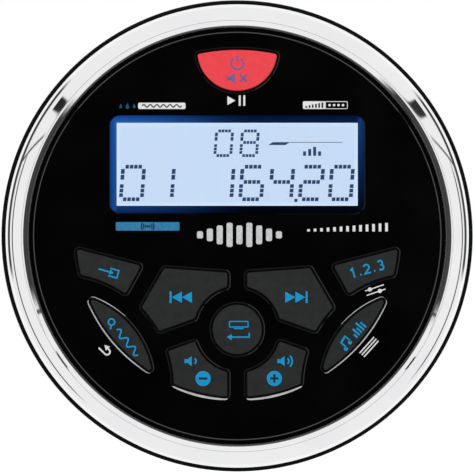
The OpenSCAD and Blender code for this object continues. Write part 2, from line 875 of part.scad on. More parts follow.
// rear cover with cooling fins, stud bosses, a cooling block inside and openings for the sockets
module rear_cover() {
    cut_y0 = cover_y - over;
    cut_y1 = cover_back_y + over;
    color("gray") difference() {
        union() {
            bar([0, 0], barrel_r, cover_y, cover_back_y);
            for (k = [0 : fin_count - 1])
                translate([(k - (fin_count - 1) / 2) * fin_pitch, 0, 0])
                    block([-fin_t / 2, cover_back_y - eps, fin_low_z],
                        [fin_t / 2, cover_back_y + fin_l, fin_top_z]);
            for (s = [-1, 1]) bar([s * stud_x, 0], stud_boss_r, cover_back_y - eps, stud_boss_y);
            block([-bridge_w / 2, chip_back_y, bridge_low_z],
                [bridge_w / 2, cover_y + eps, bridge_low_z + bridge_h]);
        }
        for (s = [-1, 1])
            bar([s * stud_x, 0], stud_r + bore_fit, cover_back_y - stud_root, stud_boss_y + over);
        for (a = rear_boss_angles) bar(polar(rear_boss_at, a), rear_screw_r + slip, cut_y0, cut_y1);
        bar([0, chip_screw_z], rear_screw_r + seat_fit, chip_back_y - over, chip_screw_end_y + over);
        block([harness_x - harness_w / 2 - slip, cut_y0, socket_z - harness_h / 2 - slip],
            [harness_x + harness_w / 2 + slip, cut_y1, socket_z + harness_h / 2 + slip]);
        bar([antenna_x, socket_z], antenna_r + slip, cut_y0, cut_y1);
        for (x = jack_places) bar([x, socket_z], jack_r + slip, cut_y0, cut_y1);
    }
}

// screws of the rear cover, into the barrel's bosses
module rear_screws() {
    color("silver") for (a = rear_boss_angles)
        screw(polar(rear_boss_at, a), cover_back_y, rear_screw_r, cover_t + rear_seal_t + rear_grip,
            rear_head_r, rear_head_h);
}

// harness socket on the main board, open to the rear
module harness_socket() {
    inside = [harness_w / 2 - harness_wall, harness_h / 2 - harness_wall];
    color("white") difference() {
        block([harness_x - harness_w / 2, socket_y0, socket_z - harness_h / 2],
            [harness_x + harness_w / 2, socket_back_y, socket_z + harness_h / 2]);
        block([harness_x - inside[0], socket_back_y - harness_depth, socket_z - inside[1]],
            [harness_x + inside[0], socket_back_y + over, socket_z + inside[1]]);
    }
}

// two rows of pins in the harness socket
module harness_pins() {
    pin_y = socket_back_y - harness_depth;
    color("gold") for (row = [-1, 1]) for (k = [0 : pin_count - 1])
        translate([harness_x + (k - (pin_count - 1) / 2) * pin_pitch, 0, socket_z + row * pin_pitch])
            block([-pin_size / 2, pin_y, -pin_size / 2], [pin_size / 2, pin_y + pin_l, pin_size / 2]);
}

// block on the main board that carries a round socket
module socket_foot(x, r) {
    half = r * foot_share;
    block([x - half, socket_y0, deck_z], [x + half, cover_y - slip, socket_z + half]);
}

// antenna socket: shell, bore and centre contact
module antenna_socket() {
    antenna_floor_y = socket_back_y - antenna_depth;
    color("silver") {
        difference() {
            union() {
                socket_foot(antenna_x, antenna_r);
                bar([antenna_x, socket_z], antenna_r, cover_y - slip - eps, socket_back_y);
            }
            bar([antenna_x, socket_z], antenna_bore_r, antenna_floor_y, socket_back_y + over);
        }
        bar([antenna_x, socket_z], antenna_pin_r, antenna_floor_y, antenna_floor_y + antenna_pin_l);
    }
}

// line jack with its bore
module line_jack(x) {
    difference() {
        union() {
            socket_foot(x, jack_r);
            bar([x, socket_z], jack_r, cover_y - slip - eps, socket_back_y);
        }
        bar([x, socket_z], jack_bore_r, socket_back_y - jack_depth, socket_back_y + over);
    }
}

// left line jack
module line_jack_left() {
    color("white") line_jack(jack_places[0]);
}

// right line jack
module line_jack_right() {
    color("red") line_jack(jack_places[1]);
}

// threaded studs, set into the bosses of the rear cover
module clamp_studs() {
    color("silver") for (s = [-1, 1]) bar([s * stud_x, 0], stud_r, cover_back_y - stud_root, stud_end_y);
}

// right half of the bent strap's outline, from the middle of its back to the foot and back again
function strap_half() =
    let (
        outer_r = bend_r + bracket_t,
        top = [leg_x - bend_r, bar_y - bend_r],
        low = [leg_x + outer_r, dash_rest + outer_r],
        foot_x = leg_x + foot_l
    ) concat(
        arc_points(top, outer_r, 90, 0, bend_step),
        arc_points(low, bend_r, 180, 270, bend_step),
        [[foot_x, dash_rest + bracket_t], [foot_x, dash_rest]],
        arc_points(low, outer_r, 270, 180, bend_step),
        arc_points(top, bend_r, 0, 90, bend_step)
    );

// U-shaped bracket, bent from strap, whose feet press on the back of the dash
module clamp_bracket() {
    half = strap_half();
    color("silver") difference() {
        translate([0, 0, -bracket_w / 2]) linear_extrude(bracket_w) polygon(concat(
            half,
            [for (k = [len(half) - 1 : -1 : 0]) [-half[k][0], half[k][1]]]
        ));
        for (s = [-1, 1]) bar([s * stud_x, 0], stud_r + hole_fit, bar_y - over, bar_y + bracket_t + over);
    }
}

// washers under the wing nuts
module clamp_washers() {
    color("silver") for (s = [-1, 1]) difference() {
        bar([s * stud_x, 0], washer_r, bar_y + bracket_t, nut_y);
        bar([s * stud_x, 0], stud_r + hole_fit, bar_y, nut_y + over);
    }
}

// wing nut: hub with its bore and two raised wings with round ends
module wing_nut(x) {
    difference() {
        union() {
            bar([x, 0], nut_hub_r, nut_y, nut_y + nut_h);
            for (side = [0, 1]) translate([x, 0, 0]) mirror([side, 0, 0]) wing();
        }
        bar([x, 0], stud_r + bore_fit, nut_y - over, nut_y + nut_h + wing_rise);
    }
}

// one wing, rising backward from the hub to a round end
module wing() {
    end = [wing_reach - wing_end_r, nut_y + wing_rise - wing_end_r];
    lean = atan2(end[1] - nut_y, end[0] - nut_hub_r / 2);
    edge = wing_end_r * [-sin(lean), cos(lean)];
    translate([0, 0, -wing_t / 2]) linear_extrude(wing_t) {
        polygon([[nut_hub_r / 2, nut_y + wing_foot], [nut_hub_r, nut_y + wing_foot], end - edge, end + edge,
            [nut_hub_r / 2, nut_y + nut_h]]);
        translate(end) circle(wing_end_r);
    }
}

// left wing nut
module wing_nut_left() {
    color("silver") wing_nut(-stud_x);
}

// right wing nut
module wing_nut_right() {
    color("silver") wing_nut(stud_x);
}

chrome_ring();
dash_gasket();
fascia();
window_tape();
display_window();
lcd_frame();
lcd_glass();
light_guide();
backlight_lamps();
zebra_strip();
power_key();
source_key();
band_key();
track_back_key();
track_forward_key();
enter_key();
volume_down_key();
volume_up_key();
preset_key();
audio_key();
key_mat();
contact_pads();
front_board();
board_screws();
body_seal();
flange_screws();
rear_housing();
board_plugs();
ribbon_cable();
main_board();
amplifier_chip();
chip_clamp();
chip_screw();
capacitors();
choke_coil();
tuner_can();
wireless_module();
rear_seal();
rear_cover();
rear_screws();
harness_socket();
harness_pins();
antenna_socket();
line_jack_left();
line_jack_right();
clamp_studs();
clamp_bracket();
clamp_washers();
wing_nut_left();
wing_nut_right();
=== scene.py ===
import json
import math

import bmesh
import bpy
from mathutils import Matrix, Vector


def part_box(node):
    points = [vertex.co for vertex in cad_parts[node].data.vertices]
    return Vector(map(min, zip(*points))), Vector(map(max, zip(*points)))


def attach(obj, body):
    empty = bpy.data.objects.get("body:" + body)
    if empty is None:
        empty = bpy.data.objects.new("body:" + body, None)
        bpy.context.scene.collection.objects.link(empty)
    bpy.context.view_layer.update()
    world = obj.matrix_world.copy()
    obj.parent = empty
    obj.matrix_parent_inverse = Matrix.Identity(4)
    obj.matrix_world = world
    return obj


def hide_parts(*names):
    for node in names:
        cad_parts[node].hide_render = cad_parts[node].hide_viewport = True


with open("model.json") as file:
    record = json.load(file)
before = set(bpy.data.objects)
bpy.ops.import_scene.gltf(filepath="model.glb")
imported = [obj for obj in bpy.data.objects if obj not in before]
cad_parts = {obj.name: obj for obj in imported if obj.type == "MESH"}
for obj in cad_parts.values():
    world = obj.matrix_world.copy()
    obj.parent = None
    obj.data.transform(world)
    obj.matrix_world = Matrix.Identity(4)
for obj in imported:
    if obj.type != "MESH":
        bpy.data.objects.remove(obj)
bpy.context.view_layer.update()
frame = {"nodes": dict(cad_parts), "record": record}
scene = bpy.context.scene
mm = 0.001
print("frame loaded:", len(frame["nodes"]), "nodes")


# corners of a CAD node's box, in mm
def nodeBox(name):
    low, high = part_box(name)
    return low / mm, high / mm


# places in the front stack, from the frame
ringLow, ringHigh = nodeBox("chrome_ring")
faceLow, faceHigh = nodeBox("fascia")
keyLow, keyHigh = nodeBox("enter_key")
windowLow, windowHigh = nodeBox("display_window")
panelLow, panelHigh = nodeBox("lcd_glass")
gasketLow, gasketHigh = nodeBox("dash_gasket")
faceY, keyY, faceBackY = faceLow.y, keyLow.y, windowHigh.y
windowZ = (windowLow.z + windowHigh.z) / 2


# screen colour to scene colour
def tint(red, green, blue):
    levels = [value / 255 for value in (red, green, blue)]
    return [c / 12.92 if c <= 0.04045 else ((c + 0.055) / 1.055) ** 2.4 for c in levels] + [1.0]


# shader node: names of sockets set sockets, the rest are settings
def addNode(tree, kind, **values):
    made = tree.nodes.new("ShaderNode" + kind)
    for key, value in values.items():
        if key in made.inputs:
            made.inputs[key].default_value = value
        else:
            setattr(made, key, value)
    return made


def wire(tree, source, target, socket):
    tree.links.new(source, target.inputs[socket])


# numbers are set on the sockets, the rest is linked to them
def feed(tree, made, terms):
    for slot, term in enumerate(terms):
        if isinstance(term, (int, float)):
            made.inputs[slot].default_value = term
        else:
            tree.links.new(term, made.inputs[slot])
    return made.outputs[0]


def calc(tree, operation, *terms):
    return feed(tree, addNode(tree, "Math", operation=operation), terms)


def remap(tree, value, low, high, toLow, toHigh, smooth=False):
    made = addNode(tree, "MapRange", interpolation_type="SMOOTHSTEP" if smooth else "LINEAR")
    return feed(tree, made, (value, low, high, toLow, toHigh))


def toneRamp(tree, value, low, high, span=(0.0, 1.0)):
    ramp = addNode(tree, "ValToRGB")
    for end, spot, colour in zip(ramp.color_ramp.elements, span, (low, high)):
        end.position = spot
        end.color = tint(*colour)
    wire(tree, value, ramp, "Fac")
    return ramp.outputs["Color"]


# X, Y and Z of a place or direction
def axesOf(tree, kind):
    parts = addNode(tree, "SeparateXYZ")
    wire(tree, addNode(tree, "TexCoord").outputs[kind], parts, 0)
    return parts.outputs


def shaderOf(finish):
    return finish.node_tree.nodes["Principled BSDF"]


def setSockets(finish, values):
    for socket, value in values.items():
        shaderOf(finish).inputs[socket].default_value = value


def newFinish(name, colour, rough=0.5, metal=0.0, shine=0.5):
    finish = bpy.data.materials.new(name)
    finish.use_nodes = True
    setSockets(finish, {"Base Color": tint(*colour), "Roughness": rough})
    setSockets(finish, {"Metallic": metal, "Specular IOR Level": shine})
    return finish


noiseSpan = (0.3, 0.7)  # where most of a noise's values lie


def noiseOf(finish, scale, detail=3.0, stretch=(1, 1, 1)):
    tree = finish.node_tree
    coords = addNode(tree, "TexCoord")
    mapping = addNode(tree, "Mapping", Scale=stretch)
    noise = addNode(tree, "TexNoise", Scale=scale, Detail=detail)
    wire(tree, coords.outputs["Object"], mapping, "Vector")
    wire(tree, mapping.outputs[0], noise, "Vector")
    return noise.outputs[0]


# gloss that drifts between two roughness values
def smear(finish, rough, scale, stretch=(1, 1, 1)):
    value = remap(finish.node_tree, noiseOf(finish, scale, 4.0, stretch), *noiseSpan, *rough)
    wire(finish.node_tree, value, shaderOf(finish), "Roughness")


# kinds of surface: scale of the tone's drift, roughness and the scale of its drift ("smears"), fine relief as
# scale, height in mm and strength, metal, shine, and the detail of tone and relief
plainLook = {
    "rough": (0.5, 0.5), "smears": 0, "relief": None, "metal": 0.0, "shine": 0.5, "detail": (3.0, 2.0),
}
surfaceLooks = {
    "chrome": {"tone": 90, "rough": (0.015, 0.05), "smears": 90, "metal": 1.0},
    "gloss": {"tone": 60, "rough": (0.03, 0.06), "smears": 60, "relief": (900, 0.002, 0.2)},
    "cut": {"tone": 400, "rough": (0.25, 0.4), "smears": 700, "metal": 1.0},
    "gasket": {"tone": 300, "rough": (0.7, 0.7), "relief": (2500, 0.03, 0.6), "shine": 0.1},
    "rubber": {"tone": 700, "rough": (0.55, 0.75), "smears": 500, "relief": (4200, 0.012, 0.5), "shine": 0.2},
    "ink": {"tone": 1500, "relief": (3500, 0.006, 0.3), "shine": 0.15},
    "moulded": {"tone": 500, "rough": (0.52, 0.66), "smears": 600, "relief": (2600, 0.03, 0.6), "shine": 0.3},
    "cast": {"tone": 700, "rough": (0.48, 0.6), "smears": 500, "relief": (2200, 0.05, 0.7), "metal": 0.6},
    "brushed": {"tone": 300, "rough": (0.24, 0.42), "smears": 500, "relief": (700, 0.008, 0.4), "metal": 1.0,
                "detail": (4.0, 4.0)},
    "plastic": {"tone": 260, "rough": (0.38, 0.55), "smears": 300, "relief": (2200, 0.02, 0.4)},
    "plated": {"tone": 500, "smears": 600, "metal": 1.0},
    "floor": {"tone": 20, "rough": (0.9, 0.9), "shine": 0.0},
}


# a surface between two tones
def coat(kind, name, dark, light, stretch=(1, 1, 1), **changes):
    look = {**plainLook, **surfaceLooks[kind], **changes}
    finish = newFinish(name, light, look["rough"][0], look["metal"], look["shine"])
    tree, shader = finish.node_tree, shaderOf(finish)
    drift = noiseOf(finish, look["tone"], look["detail"][0], stretch)
    wire(tree, toneRamp(tree, drift, dark, light, noiseSpan), shader, "Base Color")
    if look["smears"]:
        smear(finish, look["rough"], look["smears"], stretch)
    if look["relief"]:
        scale, height, strength = look["relief"]
        bump = addNode(tree, "Bump", Strength=strength, Distance=height * mm)
        wire(tree, noiseOf(finish, scale, look["detail"][1], stretch), bump, "Height")
        wire(tree, bump.outputs[0], shader, "Normal")
    return finish


windowLook = {"tone": (250, 252, 255), "rough": (0.0, 0.03), "smears": 120, "bend": 1.3}


def clearWindow(tone, rough, smears, bend):
    finish = newFinish("clearWindow", tone)
    setSockets(finish, {"Transmission Weight": 1.0, "IOR": bend})
    smear(finish, rough, smears)
    return finish


# display: the lit area, its tones, and the blue margin round it with a painted glow
view = {"width": 53.8, "height": 18.5, "middle": windowZ}
litLook = {
    "middle": (197, 217, 241), "edge": (206, 228, 250), "glow": 1.0, "edgeWidth": 1.2,
    "ground": (20, 26, 34), "rough": 0.3, "cloud": 160, "drift": 0.5,
}
marginLook = {  # colours of the margin's painted glow next to the lit area and away from it; strengths low and high, then left and right, painted brighter at the left and top
    "inner": (34, 96, 180), "outer": (18, 60, 128), "width": 1.6, "fadeTo": 3.0, "ground": (8, 20, 44),
    "leftSide": (0.7, 0.9), "rightSide": (0.03, 0.42), "lowEnd": (0.34, 0.015), "highEnd": (0.95, 0.12),
    "corner": (-0.4, 0.6),
}


# a point's place from the middle of the lit area, and how far outside it lies, in mm
def litPlace(tree):
    place = axesOf(tree, "Object")
    across = calc(tree, "MULTIPLY", place["X"], 1 / mm)
    up = calc(tree, "SUBTRACT", calc(tree, "MULTIPLY", place["Z"], 1 / mm), view["middle"])
    beside = calc(tree, "SUBTRACT", calc(tree, "ABSOLUTE", across), view["width"] / 2)
    above = calc(tree, "SUBTRACT", calc(tree, "ABSOLUTE", up), view["height"] / 2)
    return across, up, beside, calc(tree, "MAXIMUM", beside, above)


def litPanel(middle, edge, glow, edgeWidth, ground, rough, cloud, drift):
    finish = newFinish("litPanel", ground, rough)
    tree = finish.node_tree
    outside = litPlace(tree)[-1]
    near = remap(tree, outside, -edgeWidth, 0.0, 0.0, 1.0, True)
    wobble = calc(tree, "SUBTRACT", calc(tree, "MULTIPLY", noiseOf(finish, cloud), drift), drift / 2)
    tone = toneRamp(tree, calc(tree, "ADD", near, wobble), middle, edge)
    wire(tree, tone, shaderOf(finish), "Emission Color")
    setSockets(finish, {"Emission Strength": glow})
    return finish


# painted glow: the margin emits blue light that fades away from the lit area, stronger at the left and top
# and weaker at the right and bottom
def paintedGlowMargin(inner, outer, width, fadeTo, ground, leftSide, rightSide, lowEnd, highEnd, corner):
    finish = newFinish("paintedGlowMargin", ground)
    tree = finish.node_tree
    across, up, beside, outside = litPlace(tree)
    tone = toneRamp(tree, remap(tree, outside, 0.0, width, 0.0, 1.0), inner, outer)
    wire(tree, tone, shaderOf(finish), "Emission Color")
    halfX, halfZ = view["width"] / 2, view["height"] / 2
    left, right = (remap(tree, up, -halfZ, halfZ, *levels) for levels in (leftSide, rightSide))
    low, high = (remap(tree, across, -halfX, fadeTo, *levels, True) for levels in (lowEnd, highEnd))
    sides = remap(tree, across, -halfX, halfX, left, right)
    ends = remap(tree, up, -halfZ, halfZ, low, high)
    share = remap(tree, beside, *corner, 0.0, 1.0, True)
    wire(tree, remap(tree, share, 0.0, 1.0, ends, sides), shaderOf(finish), "Emission Strength")
    return finish


# one finish for each slot of the record
slotFinishes = {
    "chrome": coat("chrome", "polishedChrome", (242, 242, 244), (247, 247, 247)),
    "gasket_rubber": coat("gasket", "gasketRubber", (5, 5, 5), (11, 11, 12)),
    "face_black": coat("gloss", "glossFace", (2, 2, 3), (4, 4, 5), shine=0.15),
    "tape": coat("plastic", "greyTape", (66, 66, 68), (86, 86, 88)),
    "clear_window": clearWindow(**windowLook),
    "display_blue": paintedGlowMargin(**marginLook),
    "lcd": litPanel(**litLook),
    "light_guide": coat("plastic", "lightGuide", (214, 220, 224), (232, 238, 242)),
    "lamp": coat("plastic", "lampResin", (222, 210, 150), (240, 230, 172)),
    "strip_rubber": coat("plastic", "stripRubber", (150, 88, 92), (182, 116, 118)),
    "key_red": coat("rubber", "redRubber", (239, 66, 75), (246, 73, 82)),
    "key_grey": coat("rubber", "greyRubber", (32, 33, 34), (39, 40, 40)),
    "mat_rubber": coat("rubber", "matRubber", (86, 86, 90), (102, 102, 106)),
    "contact_gold": coat("plated", "contactGold", (196, 150, 70), (226, 186, 104), rough=(0.175, 0.35)),
    "board_green": coat("plastic", "boardGreen", (14, 86, 44), (24, 108, 58)),
    "steel": coat("brushed", "turnedSteel", (180, 181, 184), (208, 209, 212)),
    "body_black": coat("moulded", "mouldedBlack", (21, 21, 22), (27, 27, 29)),
    "plug_ivory": coat("plastic", "plugIvory", (216, 210, 190), (232, 226, 208)),
    "chip_black": coat("plastic", "chipResin", (26, 26, 27), (40, 40, 42)),
    "alloy": coat("brushed", "plainAlloy", (180, 181, 184), (208, 209, 212), (1, 6, 1)),
    "capacitor_blue": coat("plastic", "capacitorSleeve", (20, 26, 70), (34, 42, 96)),
    "coil_copper": coat("plated", "coilCopper", (168, 92, 50), (206, 128, 76), rough=(0.21, 0.42)),
    "cover_alloy": coat("cast", "castCover", (64, 65, 68), (78, 79, 82)),
    "socket_nickel": coat("plated", "socketNickel", (186, 182, 174), (214, 210, 202), rough=(0.154, 0.308)),
    "jack_white": coat("plastic", "jackWhite", (222, 222, 220), (238, 238, 236)),
    "jack_red": coat("plastic", "jackRed", (188, 26, 26), (212, 42, 40)),
}
print("finishes made:", len(slotFinishes))


# mesh building, all in mm until addPiece
def circleLoop(at, radius, depth, steps):
    turns = [2 * math.pi * k / steps for k in range(steps)]
    return [(at[0] + radius * math.cos(a), depth, at[1] + radius * math.sin(a)) for a in turns]


def bridge(bm, one, other):
    count = len(one)
    for k in range(count):
        after = (k + 1) % count
        bm.faces.new((one[k], one[after], other[after], other[k]))


def loft(bm, loops, capped=False):
    rings = [[bm.verts.new(point) for point in loop] for loop in loops]
    for one, other in zip(rings, rings[1:]):
        bridge(bm, one, other)
    if capped:
        bm.faces.new(rings[0])
        bm.faces.new(rings[-1])
    return rings


# profile of radius and depth turned about a line along Y
def turned(bm, profile, at, steps, closed=False):
    rings = loft(bm, [circleLoop(at, r, y, steps) for r, y in profile], not closed)
    if closed:
        bridge(bm, rings[-1], rings[0])


def arc(centre, radius, start, end, steps=6):
    angles = [math.radians(start + (end - start) * k / steps) for k in range(steps + 1)]
    return [(centre[0] + radius * math.cos(a), centre[1] + radius * math.sin(a)) for a in angles]


def fillFlat(bm, rings):
    edges = []
    for ring in rings:
        edges += [bm.edges.get((ring[k - 1], ring[k])) for k in range(len(ring))]
    bmesh.ops.triangle_fill(bm, use_beauty=True, edges=edges)


# flat faces over the first and the last rings of lofts
def fillEnds(bm, stacks):
    for end in (0, -1):
        fillFlat(bm, [rings[end] for rings in stacks])


def softBox(bm, low, high, edge, segments):
    made = bmesh.ops.create_cube(bm, size=1.0)["verts"]
    middle, span = (low + high) / 2, high - low
    for vert in made:
        vert.co = Vector(c * s for c, s in zip(vert.co, span)) + middle
    edges = list(dict.fromkeys(e for vert in made for e in vert.link_edges))
    bmesh.ops.bevel(bm, geom=edges, offset=edge, segments=segments, profile=0.5, affect="EDGES")


def addObject(name, data):
    made = bpy.data.objects.new(name, data)
    scene.collection.objects.link(made)
    return made


# a piece has its slot's finish unless another is given
def addPiece(name, bm, slotName=None, stands=(), body="unit", finish=None, sharp=32):
    bmesh.ops.recalc_face_normals(bm, faces=bm.faces[:])
    mesh = bpy.data.meshes.new(name)
    bm.to_mesh(mesh)
    bm.free()
    mesh.transform(Matrix.Scale(mm, 4))
    mesh.shade_smooth()
    mesh.set_sharp_from_angle(angle=math.radians(sharp))
    mesh.materials.append(finish or slotFinishes[slotName])
    piece = addObject(name, mesh)
    even = piece.modifiers.new("evenNormals", "WEIGHTED_NORMAL")
    even.keep_sharp = True
    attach(piece, body)
    if stands:
        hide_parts(*stands)
    return piece


roundSteps = 192  # steps of the large circles

# bright ring; its throat is the steep part next to the face: how wide and how deep
ringSizes = {
    "width": 5.2, "landY": -13.5, "lip": 0.25, "throat": (0.49, 0.675), "slope": 36, "crestRound": 0.6,
    "wall": 1.6, "landFit": 1.0, "footEdge": 0.2, "sharpFrom": 8,
}


def makeRing(width, landY, lip, throat, slope, crestRound, wall, landFit, footEdge, sharpFrom):
    outer, front, back = ringHigh.x, ringLow.y, ringHigh.y
    inner, lean = outer - width, math.radians(slope)
    throatR, throatY = inner + throat[0], landY - lip - throat[1]
    bevel = throatY - front - crestRound * (1 - math.cos(lean))
    crest = throatR + bevel / math.tan(lean) + crestRound * math.sin(lean)
    shoulder, skirt = front + outer - crest, outer - wall
    profile = [(inner, landY), (inner, landY - lip), (throatR, throatY)]
    profile += arc((crest, front + crestRound), crestRound, 270 - slope, 270, 8)
    profile += arc((crest, shoulder), outer - crest, 270, 360, 36)[1:]
    profile += [(outer, back - footEdge), (outer - footEdge, back), (skirt, back), (skirt, shoulder)]
    profile += [(inner + landFit, landY)]
    bm = bmesh.new()
    turned(bm, profile, (0, 0), roundSteps, True)
    addPiece("brightRing", bm, "chrome", ["chrome_ring"], sharp=sharpFrom)


makeRing(**ringSizes)

# rubber gasket, seen as a black line outside the ring
gasketSizes = {"bore": 38.7, "soft": 0.6}


def makeGasket(bore, soft):
    outer, front, back = gasketHigh.x, gasketLow.y, gasketHigh.y
    profile = [(bore, back), (bore, front)]
    profile += arc((outer - soft, front + soft), soft, -90, 0)
    profile += arc((outer - soft, back - soft), soft, 0, 90)
    bm = bmesh.new()
    turned(bm, profile, (0, 0), roundSteps, True)
    addPiece("dashGasket", bm, "gasket_rubber", ["dash_gasket"])


makeGasket(**gasketSizes)
print("ring and gasket made")

# layout of the keys on the face: left side, and the right side mirrors it
# an edge is a line (point, outward angle) or a circle (centre, radius) that the key lies in or out of
enterAt, enterRadius = (0, -20.85), 5.5
lensAt = (-39.55, -33.66)
faceEdge = ("in", (0, 0), 35.9)
enterEdge = ("out", enterAt, 9.75)
lensEdge = ("out", lensAt, 25.4)
middleEdge = ("line", (-2.2, 0), 0)
keyShapes = {
    "power": {
        "edges": [("in", (0, 0), 41.5), ("in", (0, 41.3), 8.9)],
        "corners": [(-8.7, 40.6), (8.7, 40.6)], "stem": (0, 37.2),
    },
    "lens": {
        "edges": [faceEdge, ("in", lensAt, 20.8)],
        "corners": [(-19.2, -30.3), (-31.9, -14.5)], "stem": (-26.6, -23),
    },
    "source": {
        "edges": [faceEdge, ("line", (-28.5, -4.82), 75.4), ("line", (-23.2, -9.8), -29), lensEdge],
        "corners": [(-35.5, -3), (-21.45, -6.65), (-24.95, -12.95), (-34.55, -9.15)], "stem": (-29.6, -8),
    },
    "track": {
        "edges": [("line", (-9.25, -7.7), 86), middleEdge, enterEdge, ("line", (-13.45, -19.8), -70.5),
                  lensEdge, ("line", (-18.7, -11.4), 150)],
        "corners": [(-2.2, -8.2), (-2.2, -11.4), (-9.5, -18.4), (-17.4, -21.2), (-21.15, -15.6),
                    (-16.3, -7.2)],
        "stem": (-11.5, -13.2),
    },
    "volume": {
        "edges": [("line", (-12.3, -24.55), 109.6), enterEdge, middleEdge, faceEdge, lensEdge],
        "corners": [(-9.4, -23.55), (-2.25, -30.3), (-2.25, -35.8), (-13.95, -33.2), (-15.15, -25.6)],
        "stem": (-9, -29.8),
    },
}
outline = {"round": 0.5, "cornerSteps": 6, "edgeStep": 0.5, "circleSteps": 64}  # radius and step in mm


def ray(angle):
    return Vector((math.cos(math.radians(angle)), math.sin(math.radians(angle))))


def angleOf(v):
    return math.degrees(math.atan2(v.y, v.x))


def shortTurn(start, end):
    return (end - start + 180) % 360 - 180


# a line's offset or a circle's radius, once the edge is moved inward
def edgeReach(edge, inset):
    kind, place, size = edge
    if kind == "line":
        return Vector(place).dot(ray(size)) - inset
    return size - inset if kind == "in" else size + inset


# where two edges meet once both are moved inward, on the side of a hint
def crossing(one, other, inset, hint):
    if other[0] == "line":
        one, other = other, one
    near, far = edgeReach(one, inset), edgeReach(other, inset)
    if other[0] == "line":
        a, b = math.radians(one[2]), math.radians(other[2])
        spot = Vector((near * math.sin(b) - far * math.sin(a), far * math.cos(a) - near * math.cos(b)))
        return spot / math.sin(b - a)
    centre = Vector(other[1])
    if one[0] == "line":
        across = ray(one[2])
        foot = centre + across * (near - centre.dot(across))
        along = Vector((-across.y, across.x))
        half = math.sqrt(far ** 2 - (foot - centre).length_squared)
    else:
        span = centre - Vector(one[1])
        reach = (span.length_squared + near ** 2 - far ** 2) / (2 * span.length)
        foot = Vector(one[1]) + span.normalized() * reach
        along = Vector((-span.y, span.x)).normalized()
        half = math.sqrt(near ** 2 - reach ** 2)
    return foot + along * (half if (Vector(hint) - foot).dot(along) > 0 else -half)


def touchAngle(edge, centre):
    if edge[0] == "line":
        return edge[2]
    out = centre - Vector(edge[1])
    return angleOf(out if edge[0] == "in" else -out)


# trail round a key: point, outward direction, edge number and share of the way along it
# each edge has half of the corner before it and half of the corner after it
def keyTrail(edges, hints):
    soft, steps = outline["round"], outline["cornerSteps"]
    nexts = edges[1:] + edges[:1]
    centres = [crossing(one, other, soft, hint) for one, other, hint in zip(edges, nexts, hints)]
    corners = []
    for edge, after, centre in zip(edges, nexts, centres):
        start = touchAngle(edge, centre)
        turn = shortTurn(start, touchAngle(after, centre))
        outs = [ray(start + turn * k / steps) for k in range(steps + 1)]
        corners.append([(centre + out * soft, out) for out in outs])
    half = steps // 2
    trail = []
    for number, (kind, place, size) in enumerate(edges):
        side = corners[number - 1][half:]
        if kind != "line":
            hub = Vector(place)
            start = angleOf(centres[number - 1] - hub)
            turn = shortTurn(start, angleOf(centres[number] - hub))
            parts = max(2, math.ceil(math.radians(abs(turn)) * size / outline["edgeStep"]))
            outs = [ray(start + turn * k / parts) for k in range(1, parts)]
            side += [(hub + out * size, out if kind == "in" else -out) for out in outs]
        side += corners[number][:half]
        trail += [(p, out, number, k / (len(side) - 1)) for k, (p, out) in enumerate(side)]
    return trail


def roundTrail(at, radius, steps):
    outs = [ray(360 * k / steps) for k in range(steps)]
    return [(Vector(at) + out * radius, out, None, 0) for out in outs]


def boxTrail(at, width, height, soft, steps=8):
    trail = []
    for quarter, (sx, sz) in enumerate(((1, 1), (-1, 1), (-1, -1), (1, -1))):
        centre = Vector((at[0] + sx * (width / 2 - soft), at[1] + sz * (height / 2 - soft)))
        outs = [ray(90 * (quarter + k / steps)) for k in range(steps + 1)]
        trail += [(centre + out * soft, out, None, 0) for out in outs]
    return trail


def mirrored(trail):
    swap = Vector((-1, 1))
    return [(p * swap, out * swap, edge, share) for p, out, edge, share in reversed(trail)]


# the trail pushed outward by one amount, or by one for each point, at a depth
def pushed(trail, grow, depth):
    grows = grow if isinstance(grow, list) else [grow] * len(trail)
    depths = depth if isinstance(depth, list) else [depth] * len(trail)
    spots = [p + out * g for (p, out, edge, share), g in zip(trail, grows)]
    return [(spot.x, y, spot.y) for spot, y in zip(spots, depths)]


leftTrails = {name: keyTrail(shape["edges"], shape["corners"]) for name, shape in keyShapes.items()}
keys = {  # trail and stem of each key
    "power": (leftTrails["power"], keyShapes["power"]["stem"]),
    "enter": (roundTrail(enterAt, enterRadius, outline["circleSteps"]), enterAt),
}
for shapeName, leftKey, rightKey in (
    ("lens", "band", "audio"), ("source", "source", "preset"),
    ("track", "track_back", "track_forward"), ("volume", "volume_down", "volume_up"),
):
    stem = keyShapes[shapeName]["stem"]
    keys[leftKey] = (leftTrails[shapeName], stem)
    keys[rightKey] = (mirrored(leftTrails[shapeName]), (-stem[0], stem[1]))

# gloss face with an opening for each key and for the display
faceSizes = {
    "field": 45.65, "fieldEdge": 0.3, "landY": -13.5, "skirtWall": 2.2,
    "windowRim": 0.25, "windowLap": 1.2, "windowCorner": 2.2, "tape": 0.2,
}
rimSizes = {"gap": 0.5, "width": 0.2, "slope": 0.25, "lift": 0.02, "body": 0.08}
cutTaper = 0.4
# edges whose rim is cut wider and carries a bright strip as a painted highlight: key, edge number, width,
# share of the edge where each starts, and its lean to the far end
cutEdges = [
    ("band", 0, 0.28, 0.0, 1.0), ("band", 1, 0.14, 0.6, 1.5),
    ("audio", 0, 0.25, 0.0, 1.0), ("audio", 1, 0.12, 0.5, 1.5),
    ("volume_down", 3, 0.45, 0.0, 1.0), ("volume_up", 3, 0.45, 0.0, 1.0),
]
# further finishes of the face: walls of its openings, its outer edge, and the rims that face left, which get
# more shine as a painted sheen
faceFinishes = [
    coat("moulded", "openingWall", (21, 21, 22), (27, 27, 29)),
    coat("gloss", "polishedEdge", (2, 2, 3), (4, 4, 5), shine=1.0),
    coat("gloss", "paintedSheenRim", (2, 2, 3), (4, 4, 5), shine=0.45),
]
